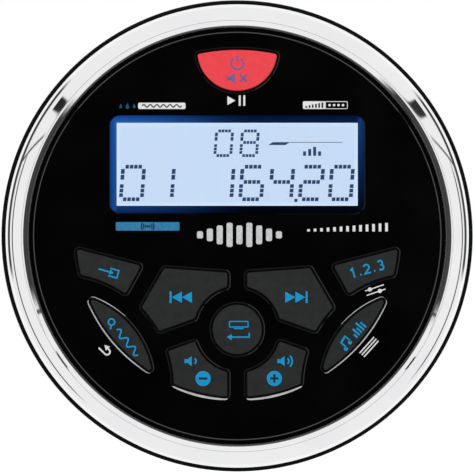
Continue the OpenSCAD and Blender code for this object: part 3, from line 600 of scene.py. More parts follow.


# width of the wider cut, and of its painted highlight strip, at a point of an opening
def cutWidth(key, edge, share):
    for cutKey, cutEdge, width, start, lean in cutEdges:
        if key == cutKey and edge == cutEdge and share > start:
            along = ((share - start) / (1 - start)) ** lean
            return width * math.sin(math.pi * along) ** cutTaper
    return 0.0


def makeFace(field, fieldEdge, landY, skirtWall, windowRim, windowLap, windowCorner, tape):
    bm = bmesh.new()
    gap, least, slope = rimSizes["gap"], rimSizes["width"], rimSizes["slope"]
    stacks = []
    for key, (trail, stem) in keys.items():
        rims = [max(least, cutWidth(key, edge, share)) for p, out, edge, share in trail]
        stacks.append(loft(bm, [
            pushed(trail, [gap + w for w in rims], faceY),
            pushed(trail, gap, [faceY + w * slope for w in rims]), pushed(trail, gap, faceBackY),
        ]))
    wide, high, tapeY = windowHigh.x * 2, windowHigh.z - windowLow.z, windowLow.y - tape
    opening = boxTrail((0, windowZ), wide - 2 * windowLap, high - 2 * windowLap, windowCorner)
    stacks.append(loft(bm, [
        pushed(opening, windowRim, faceY), pushed(opening, 0, faceY + windowRim), pushed(opening, 0, tapeY),
        pushed(opening, windowLap, tapeY), pushed(opening, windowLap, faceBackY),
    ]))
    outer, inner = faceHigh.x, faceHigh.x - skirtWall
    profile = arc((field - fieldEdge, faceY + fieldEdge), fieldEdge, -90, 0, 4)[:-1]
    profile += [(field, landY), (outer, landY), (outer, faceHigh.y), (inner, faceHigh.y), (inner, faceBackY)]
    stacks.append(loft(bm, [circleLoop((0, 0), r, y, roundSteps) for r, y in profile]))
    fillEnds(bm, stacks)
    bm.normal_update()
    tilt, margin, hair = 0.1, 1, 0.001  # part of a normal that counts, and two distances in mm
    for side in bm.faces:
        middle, normal = side.calc_center_median(), side.normal
        away = math.hypot(middle.x, middle.z)
        lit = middle.y < faceY + least / 2 and normal.x * math.copysign(1, -normal.y) < -tilt
        if abs(normal.y) < tilt and away < inner - margin:
            side.material_index = 1
        elif field - fieldEdge < away < field and middle.y < landY:
            side.material_index = 2
        # rims facing left take the shinier finish: painted sheen on the side the light comes from
        elif lit and away < field - margin:
            side.material_index = 3
    mesh = addPiece("glossFascia", bm, "face_black", ["fascia"]).data
    for finish in faceFinishes:
        mesh.materials.append(finish)
    for line in mesh.edges:  # the front stays flat up to its rims
        if all(mesh.vertices[k].co.y < (faceY + hair) * mm for k in line.vertices):
            line.use_edge_sharp = True


makeFace(**faceSizes)


# painted highlight: bright metal strips laid where the rim of an opening is cut wider
def makeCutHighlights(gap, width, slope, lift, body):
    bm = bmesh.new()
    for key, cutEdge, widest, start, lean in cutEdges:
        rows = []
        for p, out, edge, share in keys[key][0]:
            if edge != cutEdge or share <= start:
                continue
            cut = cutWidth(key, edge, share)
            reach, lowY = gap + max(width, cut), faceY + cut * slope
            low, high = p + out * (reach - cut - lift), p + out * (reach + lift)
            rows.append([
                (low.x, lowY - lift, low.y), (high.x, faceY - lift, high.y),
                (high.x, faceY + body, high.y), (low.x, lowY + body, low.y),
            ])
        loft(bm, rows, True)
    finish = coat("cut", "paintedHighlightCut", (190, 190, 192), (212, 212, 214))
    addPiece("cutHighlightStrip", bm, "chrome", finish=finish)


makeCutHighlights(**rimSizes)
print("face made")

# sprung keys
keySizes = {
    "soft": 0.25, "softSteps": 5, "lipGrow": 1.0, "lipThick": 1.0,
    "stemRadius": 2.2, "stemEdge": 0.3, "sunk": 0.1,
}
paintedShadeRed = coat("rubber", "paintedShadeRed", (44, 9, 11), (54, 12, 14))  # sides of the red key, a darker red: painted shade of the gap round it


def makeKey(key, trail, stem, soft, softSteps, lipGrow, lipThick, stemRadius, stemEdge, sunk):
    lipY, stemY = faceBackY + lipThick, keyHigh.y
    loops = [pushed(trail, lipGrow, lipY), pushed(trail, lipGrow, faceBackY), pushed(trail, 0, faceBackY)]
    for step in range(softSteps + 1):
        bend = math.pi / 2 * step / softSteps
        loops.append(pushed(trail, -soft * (1 - math.cos(bend)), keyY + soft * (1 - math.sin(bend))))
    bm = bmesh.new()
    loft(bm, loops, True)
    profile = [(stemRadius, lipY - sunk), (stemRadius, stemY - stemEdge), (stemRadius - stemEdge, stemY)]
    turned(bm, profile, stem, 32)
    red = key == "power"
    # faces of the red key behind its rounded top get the darker red of painted shade
    for side in bm.faces:
        side.material_index = int(red and side.calc_center_median().y > keyY + soft)
    piece = addPiece("keyCap_" + key, bm, "key_red" if red else "key_grey", [key + "_key"], key)
    if red:
        piece.data.materials.append(paintedShadeRed)


for key, (trail, stem) in keys.items():
    makeKey(key, trail, stem, **keySizes)
print("keys made:", len(keys))


# flat marks: each is a list of loops of (right, up) points, the second one a hole
def ribbon(points, width):
    spots = [Vector(p) for p in points]
    left, right = [], []
    for k, spot in enumerate(spots):
        ways = []
        if k > 0:
            ways.append((spot - spots[k - 1]).normalized())
        if k + 1 < len(spots):
            ways.append((spots[k + 1] - spot).normalized())
        sides = [Vector((-way.y, way.x)) for way in ways]
        side = sides[0] if len(sides) == 1 else (sides[0] + sides[1]) / (1 + sides[0].dot(sides[1]))
        left.append(spot + side * width / 2)
        right.append(spot - side * width / 2)
    return [left + right[::-1]]


def patch(points):
    return [[Vector(p) for p in points]]


def bar(low, high):
    return patch([low, (high[0], low[1]), high, (low[0], high[1])])


def disc(at, radius, steps=28):
    outs = [ray(360 * k / steps) for k in range(steps)]
    return patch([(at[0] + radius * out.x, at[1] + radius * out.y) for out in outs])


def hoop(at, radius, width, steps):
    return disc(at, radius + width / 2, steps) + disc(at, radius - width / 2, steps)


def bow(at, radius, width, start, end, steps=12):
    return ribbon(arc(at, radius, start, end, steps), width)


def pill(at, width, height, soft):
    return [[p for p, out, edge, share in boxTrail(at, width, height, soft, 6)]]


def frameMark(at, width, height, soft, line):
    inside = pill(at, width - 2 * line, height - 2 * line, max(soft - line, 0.05))
    return pill(at, width, height, soft) + inside


def wave(start, length, height, turns, width, steps=48):
    points = [(start[0] + length * k / steps,
               start[1] + height * math.sin(2 * math.pi * turns * k / steps)) for k in range(steps + 1)]
    return ribbon(points, width)


def shift(marks, right, up):
    return [[[Vector((p[0] + right, p[1] + up)) for p in loop] for loop in mark] for mark in marks]


def sized(marks, size):
    return [[[Vector(p) * size for p in loop] for loop in mark] for mark in marks]


def flip(marks):
    return [[[Vector((-p[0], p[1])) for p in loop] for loop in mark] for mark in marks]


inkSizes = {"raised": 0.03, "sunk": 0.02, "step": 0.004}  # marks that cross lie a step apart


# marks printed on a surface: place and turn on the face, raised a little
def printMarks(name, marks, place, turn, surfaceY, finish, body="unit", raised=inkSizes["raised"]):
    across, up = ray(turn), ray(turn + 90)
    bm = bmesh.new()
    for number, mark in enumerate(marks):
        depths = (-raised - inkSizes["step"] * (number % 3), inkSizes["sunk"])
        stacks = []
        for loop in mark:
            spots = [Vector(place) + across * p[0] + up * p[1] for p in loop]
            stacks.append(loft(bm, [[(s.x, surfaceY + depth, s.y) for s in spots] for depth in depths]))
        for rings in zip(*stacks):
            if len(rings) == 1:
                bm.faces.new(rings[0])
            else:
                fillFlat(bm, rings)
    addPiece(name, bm, body=body, finish=finish)


def printInk(name, dark, light, glow=0.0):
    finish = coat("ink", name, dark, light)
    setSockets(finish, {"Emission Color": tint(*light), "Emission Strength": glow})
    return finish


# the blue legends glow a little: painted glow
legendBlue = printInk("legendBlue", (8, 138, 190), (16, 152, 206), 0.08)
legendDim = printInk("legendDim", (20, 74, 100), (28, 88, 116))
legendWhite = printInk("legendWhite", (228, 228, 228), (240, 240, 240))
legendViolet = printInk("legendViolet", (96, 92, 150), (112, 104, 164))
legendDark = printInk("legendDark", (14, 14, 15), (22, 22, 24))
legendSilver = printInk("legendSilver", (196, 196, 198), (222, 222, 224))
pillBlue = printInk("pillBlue", (40, 118, 162), (54, 134, 180))


# signs for the keys, about 2 mm high
def speakerSign(waves):
    marks = [patch([(-1.9, -0.35), (-1.3, -0.35), (-0.6, -0.9), (-0.6, 0.9), (-1.3, 0.35), (-1.9, 0.35)])]
    return marks + [bow((-0.5, 0), 0.65 + 0.62 * k, 0.3, -48, 48) for k in range(waves)]


def roundSign(plus):
    low, line = 0.95, 0.25
    cut = [(-low, -line), (low, -line), (low, line), (-low, line)]
    if plus:
        cut = [(-low, -line), (-line, -line), (-line, -low), (line, -low), (line, -line), (low, -line),
               (low, line), (line, line), (line, low), (-line, low), (-line, line), (-low, line)]
    return [disc((0, 0), 1.7, 40) + patch(cut)]


def presetSign():
    strokes = [
        [[(-0.35, 0.5), (0.1, 0.85), (0.1, -0.9)]],
        [arc((0, 0.35), 0.5, 160, -40, 8) + [(-0.5, -0.78), (0.6, -0.78)]],
        [arc((0, 0.42), 0.43, 150, -90, 8), arc((0, -0.42), 0.47, 90, -150, 8)],
    ]
    marks = []
    for k, digit in enumerate(strokes):
        marks += shift(sized([ribbon(stroke, 0.3) for stroke in digit], 1.2), 3.2 * (k - 1), 0)
    return marks + [disc((1.6 * s, -0.85), 0.2, 12) for s in (-1, 1)]


def slidersSign():
    marks = []
    for up, knob in ((0.52, -1.1), (-0.52, 0.9)):
        marks += [bar((-2.2, up - 0.13), (2.2, up + 0.13)), disc((knob, up), 0.46, 18)]
    return marks


def notesSign():
    marks = [ribbon([(-2.35, -0.7), (-2.35, 0.85)], 0.26), ribbon([(-0.95, -0.5), (-0.95, 1.0)], 0.26)]
    marks += [patch([(-2.48, 0.5), (-0.82, 0.75), (-0.82, 1.12), (-2.48, 0.87)])]
    marks += [disc((-2.62, -0.7), 0.4, 18), disc((-1.22, -0.5), 0.4, 18)]
    for k, height in enumerate((0.9, 1.7, 1.25, 2.0, 1.4)):
        marks.append(bar((0.2 + 0.62 * k, -1.0), (0.55 + 0.62 * k, -1.0 + height)))
    return sized(marks, 1.2)


powerSign = [bow((0, 0), 1.35, 0.36, 125, 415, 28), bar((-0.18, 0.35), (0.18, 1.75))]
crossSign = [ribbon([(0.3, -0.6), (1.5, 0.6)], 0.32), ribbon([(0.3, 0.6), (1.5, -0.6)], 0.32)]
sourceSign = [
    ribbon([(0.1, 0.85), (2.1, 0.85), (2.1, -0.85), (0.1, -0.85)], 0.32),
    ribbon([(-2.4, 0), (0.4, 0)], 0.34), patch([(0.2, 0.62), (1.15, 0), (0.2, -0.62)]),
]
seekSign = [
    hoop((-5.76, 0.2), 0.7, 0.34, 28), ribbon([(-5.3, -0.3), (-4.7, -1.0)], 0.38),
    wave((-3.7, 0), 7.4, 0.7, 3, 0.34, 72),
]
skipSign = [bar((-2.5, -1.3), (-2.05, 1.3))]
skipSign += [patch([(tip, 0), (tip + 2.25, -1.25), (tip + 2.25, 1.25)]) for tip in (-2.0, 0.25)]
screenSign = [frameMark((0, 0.12), 4.4, 1.5, 0.25, 0.26), bar((-1.1, -0.98), (1.1, -0.74))]
enterSign = [
    ribbon([(2.4, 0.7), (2.4, -0.25), (-1.6, -0.25)], 0.34),
    patch([(-2.6, -0.25), (-1.5, 0.45), (-1.5, -0.95)]),
]
linesSign = [bar((-2.4, up - 0.15), (2.4, up + 0.15)) for up in (0.65, 0.0, -0.65)]
hook = [(-1.5, -0.72)] + arc((0.45, -0.06), 0.66, -90, 90, 12) + [(0.0, 0.6)]
returnSign = [ribbon(hook, 0.36), patch([(-1.05, 0.6), (0.1, 1.25), (0.1, -0.05)])]

keyMarks = [  # name, marks, place, turn, ink, key
    ("powerMark", powerSign, (0, 38.5), 0, legendViolet, "power"),
    ("muteMark", sized(speakerSign(0) + crossSign, 1.3), (0.2, 35.2), 0, legendViolet, "power"),
    ("sourceMark", sourceSign, (-28.66, -7.98), -16, legendBlue, "source"),
    ("presetMark", presetSign(), (28.89, -7.37), 16, legendBlue, "preset"),
    ("seekMark", seekSign, (-24.51, -23.73), -50, legendBlue, "band"),
    ("notesMark", notesSign(), (25.62, -22.2), 50, legendBlue, "audio"),
    ("skipBackMark", skipSign, (-12.6, -13.65), 0, legendBlue, "track_back"),
    ("skipForwardMark", flip(skipSign), (13.2, -13.65), 0, legendBlue, "track_forward"),
    ("screenMark", screenSign, (0.33, -19.79), 0, legendBlue, "enter"),
    ("enterMark", enterSign, (0.26, -22.3), 0, legendBlue, "enter"),
    ("softerMark", sized(speakerSign(1), 1.25), (-9.4, -27.9), 0, legendBlue, "volume_down"),
    ("louderMark", sized(speakerSign(2), 1.25), (11.3, -27.9), 0, legendBlue, "volume_up"),
    ("minusMark", roundSign(False), (-7.62, -31.79), 0, legendBlue, "volume_down"),
    ("plusMark", roundSign(True), (8.27, -31.77), 0, legendBlue, "volume_up"),
]
for name, marks, place, turn, ink, key in keyMarks:
    printMarks(name, marks, place, turn, keyY, ink, key)


# signs on the face itself
def dropSign(size, right):
    belly = arc((0, -0.25 * size), 0.5 * size, -205, 25, 14)
    return shift([patch(belly + [(0, 0.95 * size)])], right, 0)


def levelSign(heights, pitch, width):
    start = -pitch * (len(heights) - 1) / 2
    return [pill((start + pitch * k, 0), width, high, width * 0.3) for k, high in enumerate(heights)]


def rampSign(count, pitch, width, low, high):
    start, base = -pitch * (count - 1) / 2, -high / 2
    spans = [low + (high - low) * k / (count - 1) for k in range(count)]
    return [bar((start + pitch * k - width / 2, base), (start + pitch * k + width / 2, base + span))
            for k, span in enumerate(spans)]


playSign = [patch([(-2.2, -1.0), (-0.4, 0), (-2.2, 1.0)])]
playSign += [bar((left, -1.18), (left + 0.45, 1.18)) for left in (0.33, 1.34)]
radioSign = [disc((0, 0), 0.26, 16)]
for k in (1, 2, 3):
    radioSign += [bow((0, 0), 0.44 * k + 0.1, 0.22, side - 34, side + 34, 8) for side in (0, 180)]
dropsSign = dropSign(0.62, -1.5) + dropSign(0.8, 0) + dropSign(0.62, 1.5)
dotsSign = [disc((k, 0), 0.28, 14) for k in (-1.5, -0.5, 0.5, 1.5)]
barHeights = [1.6, 2.8, 4.2, 5.4, 4.2, 5.4, 4.2, 2.8, 1.6]
faceMarks = [  # name, marks, place, turn, ink, and how many layers its ground is high
    ("playMark", playSign, (0, 30.22), 0, legendWhite, 0),
    ("dropsMark", dropsSign, (-24.5, 28.95), 0, legendDim, 0),
    ("wetPill", [pill((0, 0), 10.57, 1.4, 0.3)], (-16.83, 29.04), 0, legendWhite, 0),
    ("wetPillWave", [wave((-4.4, 0), 8.8, 0.3, 6, 0.24)], (-16.83, 29.04), 0, legendDark, 1),
    ("gainPill", [pill((-2.5, 0), 5.1, 1.72, 0.3), frameMark((2.4, 0), 5.1, 1.72, 0.3, 0.14)],
     (19.69, 29.2), 0, legendWhite, 0),
    ("gainPillBars", rampSign(6, 0.72, 0.36, 0.4, 1.2), (17.2, 29.2), 0, legendDark, 1),
    ("gainPillDots", dotsSign, (22.1, 29.2), 0, legendWhite, 0),
    ("radioPill", [pill((0, 0), 14.2, 1.9, 0.25)], (-19.99, 2.16), 0, pillBlue, 0),
    ("radioPillMark", radioSign, (-19.99, 2.16), 0, legendDark, 1),
    ("levelMark", levelSign(barHeights, 2.2, 1.35), (0.49, 0.26), 0, legendSilver, 0),
    ("rampMark", rampSign(13, 1.45, 0.6, 0.5, 1.9), (24.6, 1.97), 0, legendWhite, 0),
    ("slidersMark", slidersSign(), (30.8, -12.05), 19, legendWhite, 0),
    ("linesMark", linesSign, (29.4, -24.75), 48, legendWhite, 0),
    ("returnMark", returnSign, (-29.33, -25.47), -45, legendWhite, 0),
]
for name, marks, place, turn, ink, layer in faceMarks:
    printMarks(name, marks, place, turn, faceY - layer * inkSizes["raised"], ink)
print("marks printed")

# display glass with dotted segments
glassSizes = {"corner": 0.4, "edge": 0.12}


def makeGlass(corner, edge):
    wide, high = panelHigh.x - panelLow.x, panelHigh.z - panelLow.z
    trail = boxTrail((0, (panelLow.z + panelHigh.z) / 2), wide, high, corner, 4)
    bm = bmesh.new()
    loft(bm, [
        pushed(trail, -edge, panelLow.y), pushed(trail, 0, panelLow.y + edge),
        pushed(trail, 0, panelHigh.y - edge), pushed(trail, -edge, panelHigh.y),
    ], True)
    addPiece("litGlass", bm, "lcd", ["lcd_glass"])


makeGlass(**glassSizes)
segmentSizes = {"width": 4.69, "middle": 3.86, "top": 7.26, "slant": 0.077, "stroke": 0.84, "gap": 0.18}
segmentsOf = {0: "abcdef", 1: "bc", 2: "abged", 4: "fgbc", 6: "afgedc", 8: "abcdefg"}
dotsOf = {"a": 4, "g": 4, "d": 4, "b": 2, "f": 2, "c": 3, "e": 3}
displayMarks = {
    "left": -26.0, "bottom": 8.2, "pitch": 6.66,  # large digits: cell and digit
    "large": ((0, 0), (1, 1), (3, 1), (4, 6), (5, 4), (6, 2), (7, 0)),
    "smallUp": 17.95, "smallSize": 0.757, "small": ((-5.0, 0), (0.75, 8)),  # place and digit
    "dot": ((12.75, 7.6), (13.45, 8.3)), "dial": ((11.8, 20.83), (23.5, 20.96)),
    "needle": ((6.9, 20.3), (10.75, 20.3), (11.85, 20.95), (7.95, 20.95)),
    "meterUp": 17.9, "meterBar": 0.66, "meter": ((14.7, 1.0), (15.85, 1.5), (16.95, 2.0), (18.05, 1.0)),
    "raised": 0.04,
}


# dotted strokes of one digit, slanted, from its lower left corner
def digitMarks(digit, at, size, width, middle, top, slant, stroke, gap):
    half = stroke / 2
    spans = {
        "a": ((half, top), (width - half, top)), "g": ((half, middle), (width - half, middle)),
        "d": ((half, 0), (width - half, 0)), "f": ((0, middle + half), (0, top - half)),
        "b": ((width, middle + half), (width, top - half)), "e": ((0, half), (0, middle - half)),
        "c": ((width, half), (width, middle - half)),
    }
    marks = []
    for name in segmentsOf[digit]:
        start, end = (Vector(p) for p in spans[name])
        count, way = dotsOf[name], (end - start).normalized()
        side = Vector((-way.y, way.x)) * half
        step = (end - start).length / count
        for k in range(count):
            low, high = start + way * (step * k + gap / 2), start + way * (step * (k + 1) - gap / 2)
            corners = [low - side, high - side, high + side, low + side]
            marks.append(patch([(at[0] + size * (p.x + slant * p.y), at[1] + size * p.y) for p in corners]))
    return marks


def makeSegments(left, bottom, pitch, large, smallUp, smallSize, small, dot, dial, needle,
                 meterUp, meterBar, meter, raised):
    marks = []
    for cell, digit in large:
        marks += digitMarks(digit, (left + pitch * cell, bottom), 1.0, **segmentSizes)
    marks.append(bar(*dot))
    for place, digit in small:
        marks += digitMarks(digit, (place, smallUp), smallSize, **segmentSizes)
    marks += [patch(needle), bar(*dial)]
    marks += [bar((place, meterUp), (place + meterBar, meterUp + high)) for place, high in meter]
    ink = printInk("segmentInk", (8, 46, 90), (16, 58, 104), 0.3)
    printMarks("displaySegments", marks, (0, 0), 0, panelLow.y, ink, raised=raised)


makeSegments(**displayMarks)
print("display made")

# back of the unit, behind the dash: places that its pieces share
coverBack, studX = 60, 24
socketFront, socketBack, socketUp = 46, 70, -18.6
coverSizes = {
    "front": 56.8, "outer": 37.6, "edge": 0.7, "holeEdge": 0.3, "fit": 0.1, "steps": 144,
    "finCount": 9, "finPitch": 4.2, "finThick": 1.6, "finEdge": 0.5, "finSpan": (15, 27.5), "finEnd": 73,
    "boss": 4.7, "bossEnd": 65, "bossEdge": 0.6, "fillet": 0.9, "finSunk": 1, "bossSunk": 0.2,
}
harnessSizes = {"x": -14, "wide": 17, "high": 10.8, "corner": 0.5}
shellSizes = {"wall": 1.2, "deep": 9, "edge": 0.4, "bend": 0.3}
antennaSizes = {  # the pin's bore is given as shares of the pin, at its mouth and at its end
    "x": 0.5, "outer": 4.4, "bore": 3.5, "deep": 12, "edge": 0.4, "mouth": 0.2,
    "groove": (61, 62), "grooveDeep": 0.25, "grooveSlope": 0.2,
    "pin": 1.3, "pinLong": 5, "pinEdge": 0.3, "pinSunk": 0.1, "pinBore": (0.5, 0.45), "pinDeep": 1.5,
}
jackSizes = {
    "outer": 3.9, "bore": 1.65, "deep": 9, "wall": 0.45, "long": 8, "edge": 0.3, "sunk": 0.6,
    "fit": 0.02, "gap": 0.05, "mouth": (0.2, 0.25),
}
jackPlaces = {"left": (10, "jack_white"), "right": (18.6, "jack_red")}


# outline of the harness socket, moved inward by a wall
def harnessTrail(inset):
    wide, high = harnessSizes["wide"] - 2 * inset, harnessSizes["high"] - 2 * inset
    return boxTrail((harnessSizes["x"], socketUp), wide, high, harnessSizes["corner"], 4)


def makeCover(front, outer, edge, holeEdge, fit, steps, finCount, finPitch, finThick, finEdge, finSpan,
              finEnd, boss, bossEnd, bossEdge, fillet, finSunk, bossSunk):
    bm = bmesh.new()
    profile = [(outer, front)] + arc((outer - edge, coverBack - edge), edge, 0, 90, 5)
    stacks = [loft(bm, [circleLoop((0, 0), r, y, steps) for r, y in profile])]
    rounds = [(antennaSizes["x"], antennaSizes["outer"])]
    rounds += [(x, jackSizes["outer"]) for x, slotName in jackPlaces.values()]
    for hole in [roundTrail((x, socketUp), radius, 40) for x, radius in rounds] + [harnessTrail(0)]:
        stacks.append(loft(bm, [
            pushed(hole, fit, front), pushed(hole, fit, coverBack - holeEdge),
            pushed(hole, fit + holeEdge, coverBack),
        ]))
    fillEnds(bm, stacks)
    for k in range(finCount):
        x = (k - (finCount - 1) / 2) * finPitch
        low = Vector((x - finThick / 2, coverBack - finSunk, finSpan[0]))
        softBox(bm, low, Vector((x + finThick / 2, finEnd, finSpan[1])), finEdge, 3)
    profile = [(boss + fillet, coverBack - bossSunk)]
    profile += arc((boss + fillet, coverBack + fillet), fillet, 270, 180, 5)
    profile += arc((boss - bossEdge, bossEnd - bossEdge), bossEdge, 0, 90, 4)
    for side in (-1, 1):
        turned(bm, profile, (side * studX, 0), 48)
    addPiece("finnedCover", bm, "cover_alloy", ["rear_cover"])


makeCover(**coverSizes)

screwSizes = {
    "circle": 31.8, "count": 6, "first": 30, "head": 2.5, "high": 2.0, "shank": 1.4, "shankLong": 8,
    "dome": ((1, 0), (1, 0.3), (0.97, 0.5), (0.88, 0.72), (0.75, 0.88), (0.6, 0.96)),  # of head and high
    "cross": (1.3, 0.28), "steps": 48,  # reach and half width
    "crossDepths": ((0, 1.0), (0.15, 0.92), (1.1, 0.6)),  # depth and size
}


def crossLoop(at, depth, size, cross, steps):
    points = []
    for k in range(steps):
        angle = 360 * k / steps
        off = abs(math.sin(math.radians((angle + 45) % 90 - 45)))
        reach = min(cross[0], cross[1] / max(off, 0.01)) * size
        points.append((at.x + reach * ray(angle).x, depth, at.y + reach * ray(angle).y))
    return points


def makeScrews(finish, circle, count, first, head, high, shank, shankLong, steps, dome, cross, crossDepths):
    bm = bmesh.new()
    profile = [(shank, coverBack - shankLong), (shank, coverBack)]
    profile += [(head * w, coverBack + high * h) for w, h in dome]
    for k in range(count):
        at = ray(first + 360 * k / count) * circle
        loops = [circleLoop(at, r, y, steps) for r, y in profile]
        loops += [crossLoop(at, coverBack + high - deep, size, cross, steps) for deep, size in crossDepths]
        loft(bm, loops, True)
    addPiece("coverScrews", bm, "steel", ["rear_screws"], finish=finish)


screwSteel = coat("plated", "screwSteel", (176, 177, 180), (206, 207, 210), rough=(0.196, 0.392))
makeScrews(screwSteel, **screwSizes)
studSizes = {
    "radius": 2.5, "start": 58, "plainTo": 64, "end": 92, "pitch": 0.8, "deep": 0.4, "foot": 0.2,
    "taper": 0.7, "steps": 28, "perTurn": 8, "sharpFrom": 60,
}


# right-hand thread, with a short taper at the end
def makeStuds(radius, start, plainTo, end, pitch, deep, foot, taper, steps, perTurn, sharpFrom):
    bm = bmesh.new()
    rows = round((end - plainTo) / pitch * perTurn)
    for side in (-1, 1):
        loops = [circleLoop((side * studX, 0), radius - foot, start, steps)]
        for row in range(rows + 1):
            y = plainTo + (end - plainTo) * row / rows
            limit = radius - max(0, taper - (end - y))
            loop = []
            for k in range(steps):
                crest = abs(2 * ((y / pitch + k / steps) % 1) - 1)
                reach, out = min(limit, radius - deep * (1 - crest)), ray(360 * k / steps)
                loop.append((side * studX + reach * out.x, y, reach * out.y))
            loops.append(loop)
        loft(bm, loops, True)
    addPiece("threadedStuds", bm, "steel", ["clamp_studs"], finish=screwSteel, sharp=sharpFrom)


makeStuds(**studSizes)


def makeHarness(finish, wall, deep, edge, bend):
    bm = bmesh.new()
    outside, inside = harnessTrail(0), harnessTrail(wall)
    loft(bm, [
        pushed(outside, 0, socketFront), pushed(outside, 0, socketBack - edge),
        pushed(outside, -edge * bend, socketBack - edge * bend), pushed(outside, -edge, socketBack),
        pushed(inside, edge, socketBack), pushed(inside, 0, socketBack - edge),
        pushed(inside, 0, socketBack - deep),
    ], True)
    addPiece("harnessShell", bm, "plug_ivory", ["harness_socket"], finish=finish)


socketIvory = coat("plastic", "socketIvory", (214, 208, 188), (230, 224, 206))
makeHarness(socketIvory, **shellSizes)
pinSizes = {"count": 7, "pitch": 1.8, "size": 0.8, "corner": 0.1, "long": 4.4, "tip": 0.6, "taper": 0.096}


def makePins(count, pitch, size, corner, long, tip, taper):
    bm = bmesh.new()
    base = socketBack - shellSizes["deep"]
    for row in (-1, 1):
        for k in range(count):
            x = harnessSizes["x"] + (k - (count - 1) / 2) * pitch
            trail = boxTrail((x, socketUp + row * pitch), size, size, corner, 2)
            loops = [pushed(trail, 0, base), pushed(trail, 0, base + long - tip)]
            loft(bm, loops + [pushed(trail, -taper, base + long)], True)
    addPiece("harnessPins", bm, "contact_gold", ["harness_pins"])


makePins(**pinSizes)


def makeAntenna(x, outer, bore, deep, edge, mouth, groove, grooveDeep, grooveSlope,
                pin, pinLong, pinEdge, pinSunk, pinBore, pinDeep):
    bm = bmesh.new()
    at, floorY = (x, socketUp), socketBack - deep
    start, end = groove
    profile = [(outer, socketFront), (outer, start), (outer - grooveDeep, start + grooveSlope)]
    profile += [(outer - grooveDeep, end - grooveSlope), (outer, end)]
    profile += arc((outer - edge, socketBack - edge), edge, 0, 90, 4)
    profile += [(bore + mouth, socketBack), (bore, socketBack - mouth), (bore, floorY)]
    turned(bm, profile, at, 64)
    tip = floorY + pinLong
    profile = [(pin, floorY - pinSunk), (pin, tip - pinEdge), (pin - pinEdge, tip)]
    profile += [(pin * pinBore[0], tip), (pin * pinBore[1], tip - pinDeep)]
    turned(bm, profile, at, 32)
    addPiece("antennaShell", bm, "socket_nickel", ["antenna_socket"])


makeAntenna(**antennaSizes)


# line jack: coloured core in a bright sleeve
def makeJack(side, x, slotName, outer, bore, deep, wall, long, edge, sunk, fit, gap, mouth):
    at, sleeveY, coreY = (x, socketUp), socketBack - long, socketBack - sunk
    bm = bmesh.new()
    profile = [(outer, socketFront), (outer, sleeveY - edge)]
    profile += [(outer - edge, sleeveY), (outer - wall, sleeveY)]
    profile += arc((outer - wall - edge, coreY - edge), edge, 0, 90, 3)
    profile += [(bore + edge, coreY), (bore, coreY - edge), (bore, socketBack - deep)]
    turned(bm, profile, at, 56)
    addPiece("jackCore_" + side, bm, slotName, ["line_jack_" + side])
    bm = bmesh.new()
    inner = outer - wall + fit
    profile = [(inner, sleeveY + gap), (outer, sleeveY + gap), (outer, socketBack - mouth[1])]
    turned(bm, profile + [(outer - mouth[0], socketBack), (inner, socketBack)], at, 56, True)
    addPiece("jackSleeve_" + side, bm, "socket_nickel")


for side, (x, slotName) in jackPlaces.items():
    makeJack(side, x, slotName, **jackSizes)
print("back made")

# clamp hardware
washerSizes = {"outer": 5.5, "bore": 2.9, "front": 74, "back": 75, "soft": 0.2, "boreEdge": 0.1}
nutSizes = {
    "base": 75, "hub": 4.3, "high": 5, "bore": 2.62, "reach": 13, "rise": 12, "thick": 2.3, "end": 2.6,
    "foot": 0.5, "topEdge": (0.7, 0.5), "root": 0.72, "voxel": 0.24, "rounds": 7,
}


def makeWashers(outer, bore, front, back, soft, boreEdge):
    bm = bmesh.new()
    profile = [(bore, front), (outer - soft, front), (outer, front + soft), (outer, back - soft)]
    profile += [(outer - soft, back), (bore + boreEdge, back), (bore, back - boreEdge)]
    for side in (-1, 1):
        turned(bm, profile, (side * studX, 0), 56, True)
    addPiece("flatWashers", bm, "steel", ["clamp_washers"], "clamp", screwSteel)


makeWashers(**washerSizes)


# cast wing nut: hub and two wings grown together and softened
def makeWingNut(side, x, base, hub, high, bore, reach, rise, thick, end, foot, topEdge, root, voxel, rounds):
    bm = bmesh.new()
    top = base + high
    profile = [(bore, base), (hub, base), (hub, top - topEdge[1]), (hub - topEdge[0], top), (bore, top)]
    turned(bm, profile, (x, 0), 64, True)
    tip = Vector((reach - end, base + rise - end))
    lean = math.degrees(math.atan2(tip.y - base, tip.x - hub / 2))
    wing = [(hub * root, base + foot), (hub, base + foot)]
    wing += arc(tip, end, lean - 90, lean + 90, 14) + [(hub * root, top)]
    for way in (-1, 1):
        loft(bm, [[(x + way * px, py, z) for px, py in wing] for z in (-thick / 2, thick / 2)], True)
    nut = addPiece("wingNut_" + side, bm, "steel", ["wing_nut_" + side], "nut_" + side)
    nut.modifiers.clear()
    skin = nut.modifiers.new("skin", "REMESH")
    skin.mode = "VOXEL"
    skin.voxel_size = voxel * mm
    skin.use_smooth_shade = True
    soften = nut.modifiers.new("soften", "SMOOTH")
    soften.iterations = rounds


for side, x in (("left", -studX), ("right", studX)):
    makeWingNut(side, x, **nutSizes)

# bent strap keeps its CAD shape, with its edges broken
strapSizes = {"weld": 0.01, "edge": 0.25, "segments": 2, "sharpFrom": 40, "grain": (0.04, 0.04, 4.0)}


def makeStrap(strap, weld, edge, segments, sharpFrom, grain):
    strap.modifiers.new("weld", "WELD").merge_threshold = weld * mm
    broken = strap.modifiers.new("brokenEdges", "BEVEL")
    broken.width = edge * mm
    broken.segments = segments
    broken.limit_method = "ANGLE"
    broken.angle_limit = math.radians(sharpFrom)
    return coat("brushed", "strapSteel", (180, 181, 184), (208, 209, 212), grain)


strap = frame["nodes"]["clamp_bracket"]
strapSteel = makeStrap(strap, **strapSizes)
print("clamp made")

# CAD nodes that stay get the finish of their slot
for part in frame["record"]["subparts"]:
    node = frame["nodes"][part["node"]]
    node.data.materials.clear()
    node.data.materials.append(strapSteel if node == strap else slotFinishes[part["material_slot"]])

